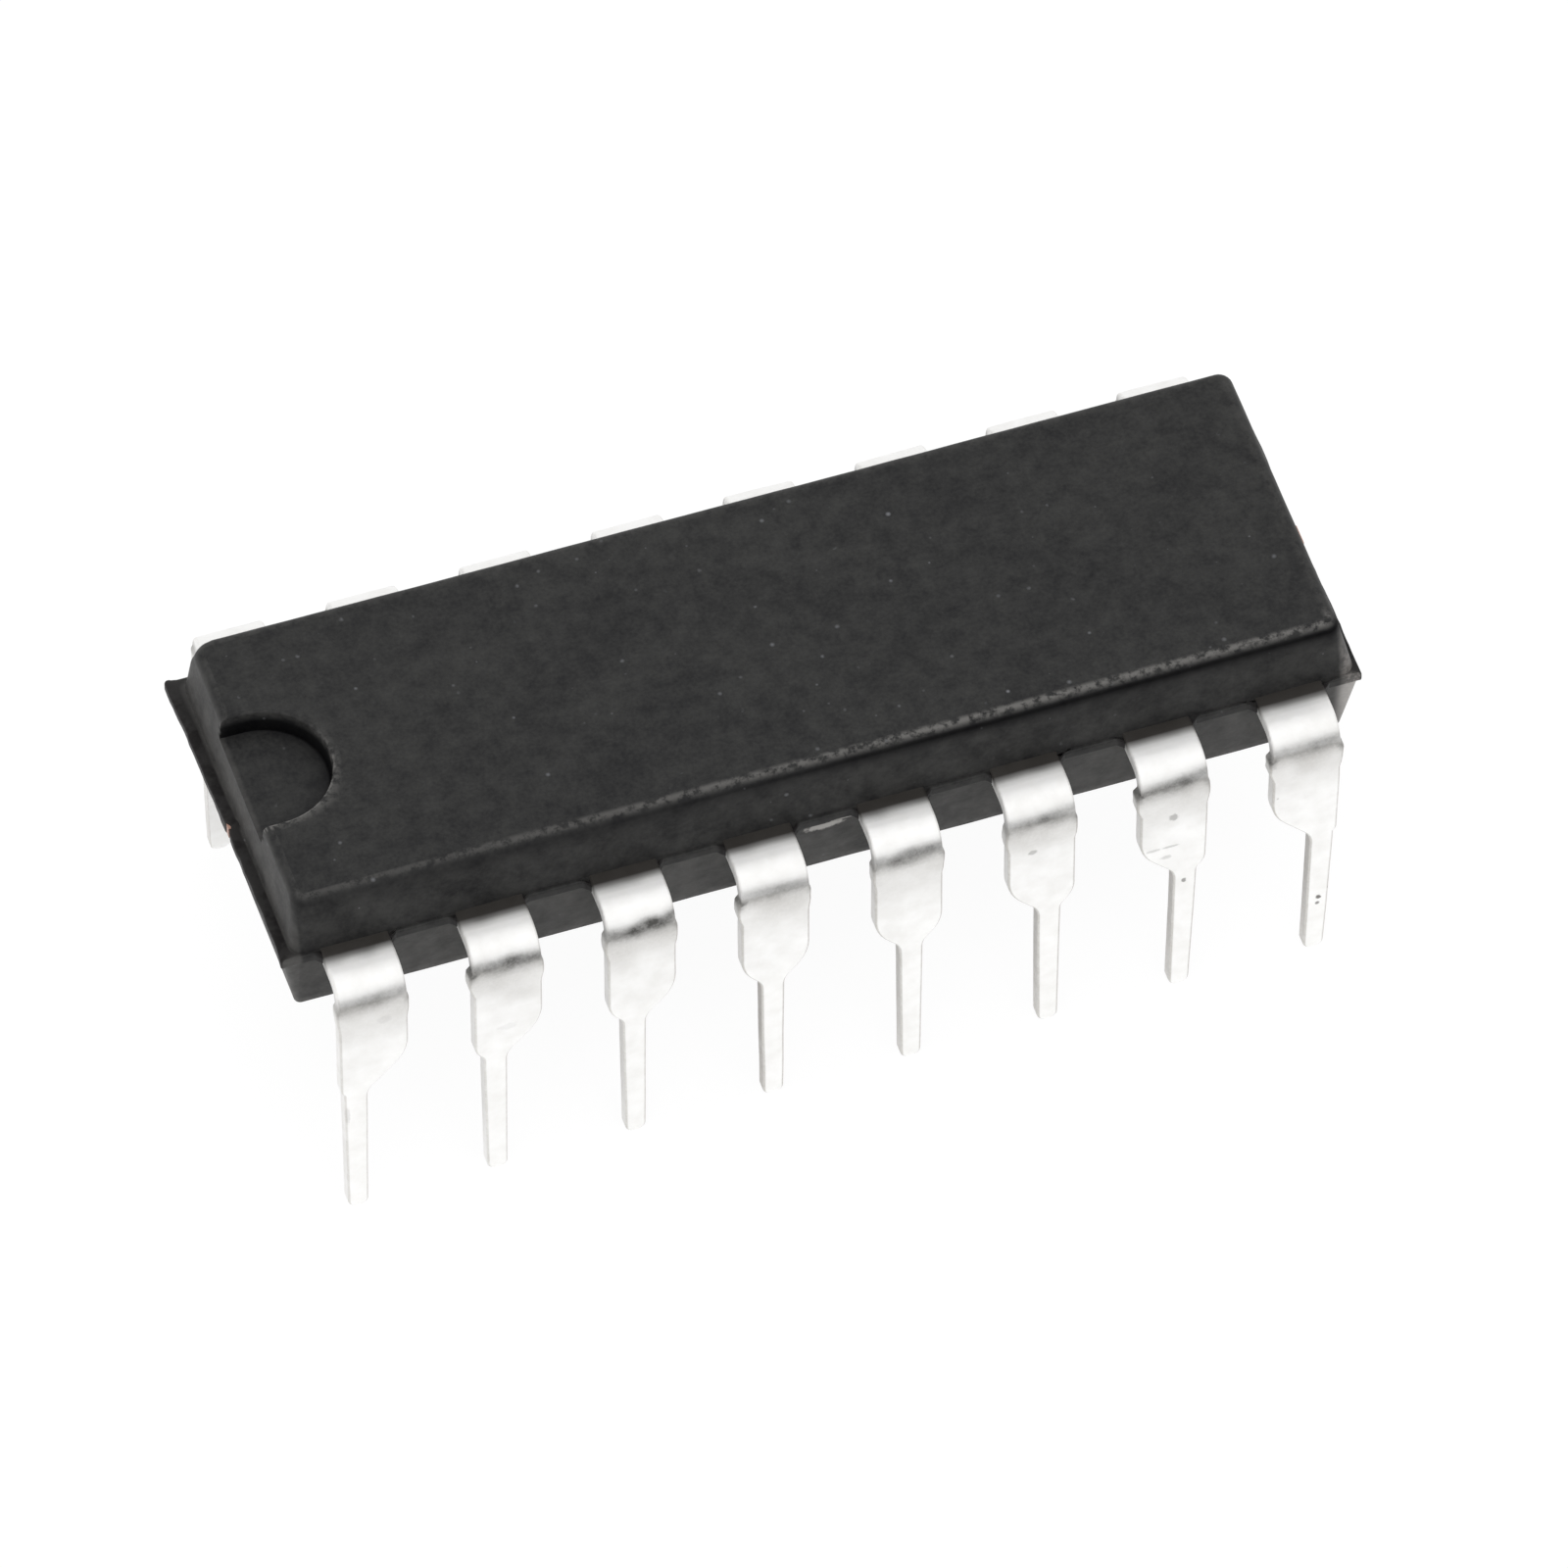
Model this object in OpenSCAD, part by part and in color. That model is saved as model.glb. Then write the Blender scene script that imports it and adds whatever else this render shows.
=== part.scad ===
// Dual in-line package: a moulded body round a stamped lead frame, with eight leads a side.
// Millimetres. X runs along the body with the notch at -X, Z is up, and z = 0 is the plane of the lead tips.

/* [Moulded body] */
// Height of the upper half above the parting plane
upper_h = 1.35; // [1.1:0.01:1.8]
// Depth of the lower half below the parting plane
lower_h = 1.58; // [1.1:0.01:2.2]
// Width of the body across the flange, at the parting plane
body_w = 6.45; // [5.2:0.05:7.8]
// Length of body beyond the middle of the last lead, at each end
body_end = 0.985; // [0.8:0.005:1.4]
// Draft of the long sides, in degrees
side_draft = 7.5; // [5:0.5:12]
// Draft of the upper half's two ends, in degrees
upper_draft = 6; // [2:0.5:10]
// Draft of the lower half's two ends, in degrees
lower_draft = 9.5; // [2:0.5:12]
// Radius of the upper half's upright corners
upper_corner_r = 0.24; // [0.15:0.01:0.35]
// Radius of the edge round the top face
upper_edge_r = 0.16; // [0.05:0.01:0.25]
// Radius of the lower half's upright corners, which are sharper
lower_corner_r = 0.12; // [0.08:0.01:0.3]
// Radius of the edge round the bottom face
lower_edge_r = 0.04; // [0.02:0.01:0.2]

/* [Parting flange] */
// Thickness of the flange left where the two mould halves meet
flange_t = 0.2; // [0.1:0.01:0.24]
// How far the flange stands out from the ends of the upper half
upper_ledge = 0.2; // [0.1:0.01:0.4]
// How far the flange stands out from the ends of the lower half
lower_ledge = 0.1; // [0.05:0.01:0.4]
// How far the lower half is shifted towards the right against the upper, as mould halves are
mismatch = 0.08; // [0:0.01:0.1]
// How far the flange stands out along the sides
flange_side = 0.06; // [0.03:0.01:0.12]
// Size of the wedges of resin that bled out beside each lead
bleed = 0.14; // [0.05:0.01:0.2]

/* [Pin-one notch and marks] */
// Radius of the notch's round end
notch_r = 1.22; // [0.8:0.02:1.6]
// Length of the notch from the flange's edge
notch_l = 1.93; // [1.4:0.01:2.6]
// Depth of the notch below the top face
notch_depth = 0.48; // [0.2:0.01:0.6]
// Radius of the two ejector marks on the underside
ejector_r = 0.75; // [0.4:0.05:1]
// Depth of the ejector marks
ejector_depth = 0.06; // [0.03:0.01:0.1]
// Distance of each ejector mark from the middle
ejector_x = 6.4; // [5:0.1:8]

/* [Leads] */
// Distance between the legs of neighbouring leads
pitch = 2.54; // [2.1:0.01:3.1]
// How much closer together the shoulders stand than the legs
shoulder_inset = 0.1; // [0:0.01:0.11]
// Thickness of the lead frame
lead_t = 0.25; // [0.2:0.01:0.3]
// Width of a lead's shoulder and of the blade below its bend
shoulder_w = 1.24; // [1.16:0.02:1.5]
// Distance from the body's flange to the outer face of the lead
lead_reach = 1; // [0.75:0.01:1.3]
// Outside radius of the bend
bend_r = 0.5; // [0.35:0.01:0.6]
// Outward lean of the legs, in degrees
splay = 0; // [0:0.5:10]
// Drop from the parting plane to where the blade has narrowed to the leg
blade_drop = 2.87; // [2.4:0.01:3.5]
// Slope of the blade's lower corners, in degrees from level
blade_slope = 48; // [35:1:60]
// Radius of the blade's lower corners
blade_r = 0.28; // [0.1:0.02:0.34]
// Width of the leg below the blade
leg_w = 0.43; // [0.35:0.01:0.5]
// Width of the leg at its tip
tip_w = 0.37; // [0.33:0.01:0.5]
// Length of the leg below the blade
leg_l = 3.3; // [2.8:0.05:4.1]
// Radius of the leg tip's corners
tip_r = 0.13; // [0.05:0.01:0.16]
// How far the cut stub of the dam bar stands out of each side of the blade
stub = 0.07; // [0.02:0.01:0.1]
// Height of that stub
stub_h = 0.65; // [0.4:0.05:0.8]

/* [Inside the moulding] */
// Depth of the full-width root of each lead inside the body
root_l = 0.9; // [0.7:0.05:1.1]
// Radius of the anchor hole in each root, which the resin fills
anchor_r = 0.2; // [0.1:0.01:0.3]
// Width of the fingers that run from the roots to the paddle
finger_w = 0.32; // [0.25:0.01:0.4]
// Gap between the fingers, the paddle and the tie bars
finger_gap = 0.22; // [0.15:0.01:0.3]
// Length of the paddle
pad_l = 4.4; // [3.8:0.1:5.4]
// Width of the paddle
pad_w = 2.8; // [2.4:0.1:3.4]
// How far the paddle is set below the leads
pad_drop = 0.2; // [0:0.02:0.3]
// Width of the tie bars
tie_w = 0.4; // [0.3:0.02:0.5]
// Thickness of the layer that holds the die
attach_t = 0.03; // [0.02:0.005:0.05]
// Length of the silicon die
die_l = 2.6; // [2:0.1:3.2]
// Width of the silicon die
die_w = 1.9; // [1.5:0.1:2.3]
// Thickness of the silicon die
die_t = 0.35; // [0.25:0.01:0.45]
// Radius of the bond wires
wire_r = 0.02; // [0.0125:0.0005:0.025]
// Height of the wires' loops above the die
loop_h = 0.2; // [0.12:0.01:0.3]

/* [Hidden] */
PER_SIDE = 8;

// Height of the parting plane, the middle of the lead frame, above the lead tips
parting_z = blade_drop + leg_l;
body_l = (PER_SIDE - 1) * pitch + 2 * body_end;
// Side view of a lead: where its bend starts, measured from the middle of the body
bend_y = body_w / 2 + lead_reach - bend_r;
root_y = body_w / 2 - root_l;
// Lanes of the two outer fingers, side by side along the tie bar
inner_lane = tie_w / 2 + finger_gap + finger_w / 2;
outer_lane = inner_lane + finger_w + finger_gap;
die_top = lead_t / 2 - pad_drop + attach_t + die_t;
// Where the two middle fingers end, as shares of the paddle's half length
finger_share = [0.22, 0.72];
// Where the bond pads lie, as shares of the die's half length and half width
pad_share = [0.2, 0.7];
end_share = [0.22, 0.6];
// Distance of the bond pads from the die's edge, and of the stitches from a finger's end
bond_inset = 0.14;
stitch_inset = 0.2;
// Size of the ball and of the stitch at a wire's ends, in wire radii, and their height
ball_scale = 2;
ball_h = 0.05;
// Sides and steps of a bond wire's tube
WIRE_SIDES = 6;
WIRE_STEPS = 7;
// Steps of a rounded corner, how far cuts run past a face, and the height of a hull's thin slices
ARC = 6;
OVER = 1;
THIN = 0.005;

function unit(v) = v / norm(v);

// Corner b between a and c, rounded to radius r
function corner(a, b, c, r) =
    let (u = unit(a - b), v = unit(c - b), half = acos(u * v) / 2,
         centre = b + unit(u + v) * r / sin(half),
         from = b + u * r / tan(half) - centre, to = b + v * r / tan(half) - centre,
         start = atan2(from.y, from.x), turn = atan2(to.y, to.x) - start,
         sweep = turn > 180 ? turn - 360 : turn < -180 ? turn + 360 : turn)
    [for (i = [0:ARC]) centre + r * [cos(start + sweep * i / ARC), sin(start + sweep * i / ARC)]];

// Outline with corners given as [x, y, radius]; a radius of 0 stays sharp
function rounded(p) = [
    for (i = [0:len(p) - 1])
        let (xy = function(j) [p[(j + len(p)) % len(p)].x, p[(j + len(p)) % len(p)].y])
        each p[i].z > 0 ? corner(xy(i - 1), xy(i), xy(i + 1), p[i].z) : [xy(i)]];

// Outline of a strip of width w along the points p, with mitred turns
function strip(p, w) =
    let (n = len(p) - 1,
         across = [for (i = [0:n])
             let (a = unit(p[min(i + 1, n)] - p[min(i, n - 1)]),
                  b = unit(p[max(i, 1)] - p[max(i - 1, 0)]), m = unit(a + b))
             [-m.y, m.x] * w / 2 / (m * a)])
    concat([for (i = [0:n]) p[i] + across[i]], [for (i = [n:-1:0]) p[i] - across[i]]);

// Copies of one quarter's piece k, 0 for the lead nearest the middle, at lead number n
module at_lead(n) {
    column = n <= PER_SIDE ? n - 1 : 2 * PER_SIDE - n;
    mirror([column < PER_SIDE / 2 ? 1 : 0, 0, 0])
        mirror([0, n <= PER_SIDE ? 1 : 0, 0])
            children();
}

function quarter_index(n) =
    let (column = n <= PER_SIDE ? n - 1 : 2 * PER_SIDE - n)
    abs(column - (PER_SIDE - 1) / 2) - 0.5;

function shoulder_x(k) = (k + 0.5) * (pitch - shoulder_inset);
function leg_x(k) = (k + 0.5) * pitch;

// Middle line of finger k from its root to the paddle's clearance
function finger_path(k) =
    k < 2
    ? [[shoulder_x(k), root_y], [finger_share[k] * pad_l / 2, pad_w / 2]]
    : let (lane = k == 2 ? outer_lane : inner_lane)
      [[shoulder_x(k), root_y], [shoulder_x(k) - (root_y - lane) / 2, lane], [pad_l / 2, lane]];

// Where the bond wire meets finger k
function stitch_point(k) =
    let (p = finger_path(k), n = len(p) - 1, back = unit(p[n - 1] - p[n]),
         run = (finger_gap + stitch_inset) / (k < 2 ? back.y : back.x))
    p[n] + back * run;

// Where the bond wire meets the die
function bond_point(k) =
    k < 2 ? [pad_share[k] * die_l / 2, die_w / 2 - bond_inset]
          : [die_l / 2 - bond_inset, end_share[3 - k] * die_w / 2];

// One drafted half of the body, h high on the parting plane and inside the flange all round
module body_half(h, ledge, end_draft, corner_r, edge_r) {
    edge = min(edge_r, corner_r - THIN);
    slices = [[0, 0], for (a = [0:30:90]) [h - edge * (1 - sin(a)), edge * (1 - cos(a))]];
    hull()
        for (slice = slices, sx = [-1, 1], sy = [-1, 1]) {
            z = slice[0];
            x = body_l / 2 - ledge - corner_r - z * tan(end_draft);
            y = body_w / 2 - flange_side - corner_r - z * tan(side_draft);
            translate([sx * x, sy * y, max(z - THIN, 0)])
                cylinder(r = corner_r - slice[1], h = THIN, $fn = 32);
        }
}

// Wedges of resin in the two corners beside the root of lead k
module bleed_wedges(k) {
    for (s = [-1, 1])
        translate([shoulder_x(k) + s * shoulder_w / 2, body_w / 2, -flange_t / 2])
            linear_extrude(flange_t)
                polygon([[0, -flange_side], [s * bleed, -flange_side], [s * bleed, 0], [0, bleed]]);
}

module notch() {
    translate([-body_l / 2 + notch_l - notch_r, 0, upper_h - notch_depth])
        cylinder(r = notch_r, h = notch_depth + OVER, $fn = 64);
    translate([-body_l / 2 - OVER, -notch_r, upper_h - notch_depth])
        cube([notch_l - notch_r + OVER, 2 * notch_r, notch_depth + OVER]);
}

module ejector_marks() {
    for (s = [-1, 1])
        translate([s * ejector_x, 0, -lower_h - OVER])
            cylinder(r = ejector_r, h = OVER + ejector_depth, $fn = 48);
}

// Plan of lead k: the finger, the root with its anchor hole, and the shoulder out to the bend
module lead_plan(k) {
    difference() {
        union() {
            polygon(strip(finger_path(k), finger_w));
            translate([shoulder_x(k) - shoulder_w / 2, root_y])
                square([shoulder_w, bend_y - root_y + bend_r]);
        }
        translate([shoulder_x(k), root_y + root_l / 2])
            circle(r = anchor_r, $fn = 32);
        square([pad_l + 2 * finger_gap, pad_w + 2 * finger_gap], center = true);
    }
}

// Front view of lead k below its bend: blade, dam bar stubs, leg and tip
module lead_front(k) {
    left = shoulder_x(k) - shoulder_w / 2;
    right = shoulder_x(k) + shoulder_w / 2;
    leg_left = leg_x(k) - leg_w / 2;
    leg_right = leg_x(k) + leg_w / 2;
    drop = tan(blade_slope);
    near_r = min(blade_r, right - leg_right);
    polygon(rounded([
        [left, OVER, 0],
        [left, -blade_drop + (leg_left - left) * drop, blade_r],
        [leg_left, -blade_drop, blade_r / 2],
        [leg_x(k) - tip_w / 2, -parting_z, tip_r],
        [leg_x(k) + tip_w / 2, -parting_z, tip_r],
        [leg_right, -blade_drop, near_r / 2],
        [right, -blade_drop + (right - leg_right) * drop, near_r],
        [right, OVER, 0]]));
    translate([left - stub, -bend_r + lead_t / 2 - stub_h])
        square([shoulder_w + 2 * stub, stub_h]);
}

// Side view of a lead: level strip, bend, and leg leaning out by the splay
module lead_side() {
    mid_r = bend_r - lead_t / 2;
    turn = 90 - splay;
    reach = 2 * parting_z;
    polygon(concat(
        [[0, lead_t / 2]],
        [for (i = [0:ARC]) [bend_y, -mid_r] + bend_r * [sin(turn * i / ARC), cos(turn * i / ARC)]],
        [[bend_y, -mid_r] + bend_r * [cos(splay), sin(splay)] + reach * [sin(splay), -cos(splay)]],
        [[bend_y, -mid_r] + (bend_r - lead_t) * [cos(splay), sin(splay)] + reach * [sin(splay), -cos(splay)]],
        [for (i = [ARC:-1:0])
            [bend_y, -mid_r] + (bend_r - lead_t) * [sin(turn * i / ARC), cos(turn * i / ARC)]],
        [[0, -lead_t / 2]]));
}

// Lead k: the side view swept across, kept where the plan or the front view has metal
module lead(k) {
    intersection() {
        rotate([90, 0, 90])
            linear_extrude(leg_x(k) + shoulder_w)
                lead_side();
        union() {
            translate([0, 0, -lead_t / 2])
                linear_extrude(lead_t)
                    lead_plan(k);
            translate([0, bend_y + 2 * bend_r + parting_z * sin(splay), 0])
                rotate([90, 0, 0])
                    linear_extrude(2 * bend_r + parting_z * sin(splay))
                        lead_front(k);
        }
    }
}

// Paddle in the middle, with a tie bar that climbs from it to each end
module paddle() {
    rise_x = pad_l / 2 + 2 * pad_drop;
    translate([0, 0, -pad_drop - lead_t / 2])
        linear_extrude(lead_t)
            square([pad_l, pad_w], center = true);
    for (s = [0, 1])
        mirror([s, 0, 0])
            translate([0, tie_w / 2, 0])
                rotate([90, 0, 0])
                    linear_extrude(tie_w)
                        polygon([
                            [pad_l / 2 - lead_t, -pad_drop - lead_t / 2],
                            [pad_l / 2, -pad_drop - lead_t / 2],
                            [rise_x, -lead_t / 2],
                            [body_l / 2, -lead_t / 2],
                            [body_l / 2, lead_t / 2],
                            [rise_x, lead_t / 2],
                            [pad_l / 2, lead_t / 2 - pad_drop],
                            [pad_l / 2 - lead_t, lead_t / 2 - pad_drop]]);
}

module attach_layer() {
    translate([-die_l / 2, -die_w / 2, lead_t / 2 - pad_drop])
        cube([die_l, die_w, attach_t]);
}

module die() {
    translate([-die_l / 2, -die_w / 2, lead_t / 2 - pad_drop + attach_t])
        cube([die_l, die_w, die_t]);
}

// Ring of the tube at point p: across is level and square to the wire's run, up is square to both
function ring(p, across, up, r) =
    [for (i = [0:WIRE_SIDES - 1]) p + r * (cos(i * 360 / WIRE_SIDES) * across + sin(i * 360 / WIRE_SIDES) * up)];

// Closed tube through rings of WIRE_SIDES points each
module tube(rings) {
    last = len(rings) - 1;
    at = function(j, i) j * WIRE_SIDES + i % WIRE_SIDES;
    polyhedron(
        points = [for (r = rings) each r],
        faces = concat(
            [[for (i = [0:WIRE_SIDES - 1]) i]],
            [for (j = [0:last - 1], i = [0:WIRE_SIDES - 1]) [at(j, i), at(j + 1, i), at(j + 1, i + 1)]],
            [for (j = [0:last - 1], i = [0:WIRE_SIDES - 1]) [at(j, i), at(j + 1, i + 1), at(j, i + 1)]],
            [[for (i = [WIRE_SIDES - 1:-1:0]) at(last, i)]]));
}

// Bond wire k: ball on the die, half an ellipse for the loop, and stitch on the finger
module wire(k) {
    a = bond_point(k);
    b = stitch_point(k);
    along = [each unit(b - a), 0];
    across = [-along.y, along.x, 0];
    z_a = die_top + ball_h;
    z_b = lead_t / 2 + ball_h;
    arch = [for (i = [0:WIRE_STEPS])
        let (t = 180 * i / WIRE_STEPS, run = (1 - cos(t)) / 2)
        [a.x + (b.x - a.x) * run, a.y + (b.y - a.y) * run, z_a + (z_b - z_a) * run + loop_h * sin(t)]];
    tube([
        ring([a.x, a.y, die_top], across, along, ball_scale * wire_r),
        ring([a.x, a.y, z_a - wire_r / 2], across, along, ball_scale * wire_r),
        for (i = [0:WIRE_STEPS])
            let (ahead = i == 0 ? [0, 0, 1] : i == WIRE_STEPS ? [0, 0, -1] : unit(arch[i + 1] - arch[i - 1]))
            ring(arch[i], across, cross(ahead, across) * -1, wire_r),
        ring([b.x, b.y, z_b - wire_r / 2], across, -along, ball_scale * wire_r),
        ring([b.x, b.y, lead_t / 2], across, -along, ball_scale * wire_r)]);
}

module moulded_body() {
    color("#2b2a29")
        translate([0, 0, parting_z])
            difference() {
                union() {
                    body_half(upper_h, upper_ledge, upper_draft, upper_corner_r, upper_edge_r);
                    translate([mismatch, 0, 0])
                        mirror([0, 0, 1])
                            body_half(lower_h, lower_ledge, lower_draft, lower_corner_r, lower_edge_r);
                    cube([body_l, body_w, flange_t], center = true);
                    for (n = [1:2 * PER_SIDE])
                        at_lead(n) bleed_wedges(quarter_index(n));
                }
                notch();
                ejector_marks();
                paddle();
                attach_layer();
                die();
                for (n = [1:2 * PER_SIDE])
                    at_lead(n) {
                        translate([0, 0, -lead_t / 2])
                            linear_extrude(lead_t)
                                lead_plan(quarter_index(n));
                        wire(quarter_index(n));
                    }
            }
}

module die_pad() {
    color("#b87333")
        translate([0, 0, parting_z])
            paddle();
}

module die_attach() {
    color("#a8a8a0")
        translate([0, 0, parting_z])
            attach_layer();
}

module silicon_die() {
    color("#4a5563")
        translate([0, 0, parting_z])
            die();
}

module numbered_lead(n) {
    color("#d9d8d4")
        translate([0, 0, parting_z])
            at_lead(n) lead(quarter_index(n));
}

module numbered_wire(n) {
    color("#d4af37")
        translate([0, 0, parting_z])
            at_lead(n) wire(quarter_index(n));
}

function two_digits(n) = str(n < 10 ? "0" : "", n);

moulded_body();
die_pad();
die_attach();
silicon_die();
for (n = [1:2 * PER_SIDE]) {
    numbered_lead(n);
    numbered_wire(n);
}
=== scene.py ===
"""A sixteen-lead dual in-line package: moulding, bent leads, lead frame, die and bond wires.

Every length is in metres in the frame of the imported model: X along the body away from the index notch,
Y across it to the rear row of leads, Z up from the plane of the lead tips.
"""
import math

import bmesh
import bpy
import numpy as np
from bpy.props import FloatProperty, FloatVectorProperty, PointerProperty
from mathutils import Matrix, Vector


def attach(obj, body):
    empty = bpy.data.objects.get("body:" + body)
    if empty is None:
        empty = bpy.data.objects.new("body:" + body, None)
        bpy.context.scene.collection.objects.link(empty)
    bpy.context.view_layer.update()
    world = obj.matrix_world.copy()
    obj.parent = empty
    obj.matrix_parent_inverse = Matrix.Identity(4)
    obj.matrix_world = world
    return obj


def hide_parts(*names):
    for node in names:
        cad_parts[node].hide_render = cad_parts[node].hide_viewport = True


bl_info = {
    "name": "Dual In-line Package",
    "version": (1, 0, 0),
    "blender": (4, 5, 0),
    "location": "View3D > Sidebar > Package",
    "description": "Builds a moulded sixteen-lead package round its bent and tinned lead frame",
    "category": "Object",
}

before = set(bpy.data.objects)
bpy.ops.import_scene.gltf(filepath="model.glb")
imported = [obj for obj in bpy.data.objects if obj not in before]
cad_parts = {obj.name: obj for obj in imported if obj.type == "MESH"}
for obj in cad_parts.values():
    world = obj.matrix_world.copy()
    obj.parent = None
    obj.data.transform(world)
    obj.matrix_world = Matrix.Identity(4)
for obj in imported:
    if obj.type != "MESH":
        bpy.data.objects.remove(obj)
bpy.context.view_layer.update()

MM = 0.001
WHITE, PAPER = (1.0, 1.0, 1.0), (0.9, 0.9, 0.9)
PER_SIDE = 8
MIDDLE = (PER_SIDE - 1) / 2
LEADS = [f"lead_{number:02d}" for number in range(1, 2 * PER_SIDE + 1)]
WIRES = [f"bond_wire_{number:02d}" for number in range(1, 2 * PER_SIDE + 1)]


# Settings

def length(name, description, millimetres):
    """A size of the package, written here in millimetres and kept in metres."""
    return FloatProperty(name=name, description=description, default=millimetres * MM,
                         subtype="DISTANCE", unit="LENGTH", precision=6)


def angle(name, description, degrees):
    """An angle, written here in degrees and kept in radians."""
    return FloatProperty(name=name, description=description, default=math.radians(degrees),
                         subtype="ANGLE", unit="ROTATION")


def colour(name, description, red, green, blue):
    """A surface colour in linear light."""
    return FloatVectorProperty(name=name, description=description, default=(red, green, blue),
                               size=3, min=0.0, max=1.0, subtype="COLOR")


def amount(name, description, value):
    """A plain number."""
    return FloatProperty(name=name, description=description, default=value)


class MouldingSettings(bpy.types.PropertyGroup):
    """Sizes and colours of the black moulding."""
    parting: length("Parting height", "Height of the parting plane above the lead tips", 6.17)
    half_length: length("Half length", "Half length over the flange", 9.875)
    half_width: length("Half width", "Half width over the flange", 3.225)
    upper_height: length("Upper height", "Height of the upper half", 1.35)
    lower_height: length("Lower height", "Depth of the lower half", 1.58)
    side_draft: angle("Side draft", "Draft of the long sides", 7.5)
    upper_draft: angle("Upper draft", "Draft of the upper half's ends", 6)
    lower_draft: angle("Lower draft", "Draft of the lower half's ends", 9.5)
    upper_corner: length("Upper corner", "Radius of the upper half's upright corners", 0.24)
    upper_edge: length("Upper edge", "Radius of the edge round the top face", 0.16)
    lower_corner: length("Lower corner", "Radius of the lower half's upright corners", 0.12)
    lower_edge: length("Lower edge", "Radius of the edge round the bottom face", 0.04)
    flange: length("Flange", "Thickness of the flange at the parting plane", 0.2)
    flange_edge: length("Flange edge", "Radius of the flange's own edges", 0.03)
    flange_side: length("Side flange", "How far the flange stands out along the sides", 0.06)
    upper_ledge: length("Upper ledge", "Width of the flange's ledge at the upper half's ends", 0.2)
    lower_ledge: length("Lower ledge", "Width of the flange's ledge at the lower half's ends", 0.01)
    mismatch: length("Mismatch", "Shift of the lower mould half against the upper", 0.035)
    waver: length("Waver", "How far the flange's torn edge wanders", 0.045)
    bead: length("Bead", "Size of the resin beads beside each lead", 0.14)
    notch_radius: length("Notch radius", "Radius of the index notch", 1.22)
    notch_length: length("Notch length", "Length of the notch from the flange", 1.93)
    notch_depth: length("Notch depth", "Depth of the notch below the top", 0.48)
    notch_rim: length("Notch rim", "Radius of the notch's rim", 0.05)
    ejector_radius: length("Ejector radius", "Radius of the ejector marks underneath", 0.75)
    ejector_depth: length("Ejector depth", "Depth of the ejector marks", 0.06)
    ejector_offset: length("Ejector offset", "Distance of each ejector mark from the middle", 6.4)
    dark: colour("Dark resin", "Colour of the resin between its filler grains", 0.006, 0.006, 0.007)
    pale: colour("Pale resin", "Colour of the resin where filler shows", 0.037, 0.037, 0.0355)
    bleed: colour("Bled resin", "Colour of the thin resin at the parting line", 0.006, 0.005, 0.005)
    # Painted light: the colour towards which the lower half, the ends and the long walls are lifted
    painted_light: colour("Ground resin", "Colour of the paler lower half and ends", 0.075, 0.073, 0.070)
    shadow: colour("Shaded resin", "Colour of the band under the top edges", 0.002, 0.002, 0.003)
    # Painted highlight along the top edges and the notch's rim, broken into specks, and scuffing of the
    # bottom edge
    highlit_and_worn: colour("Worn resin", "Colour of the worn edges", 0.14, 0.136, 0.13)
    dust: colour("Dust", "Colour of the dust specks", 0.20, 0.205, 0.22)
    # Painted highlights on the right front corner, above the flange and below it
    corner_highlight: colour("Pale corner", "Colour of the patch on the right front corner", 0.22, 0.205, 0.195)
    foot_highlight: colour("Pale foot", "Colour of that corner below the flange", 0.55, 0.53, 0.51)
    scrap: colour("Scrap", "Colour of the scraps of thin resin", 0.62, 0.60, 0.57)


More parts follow.
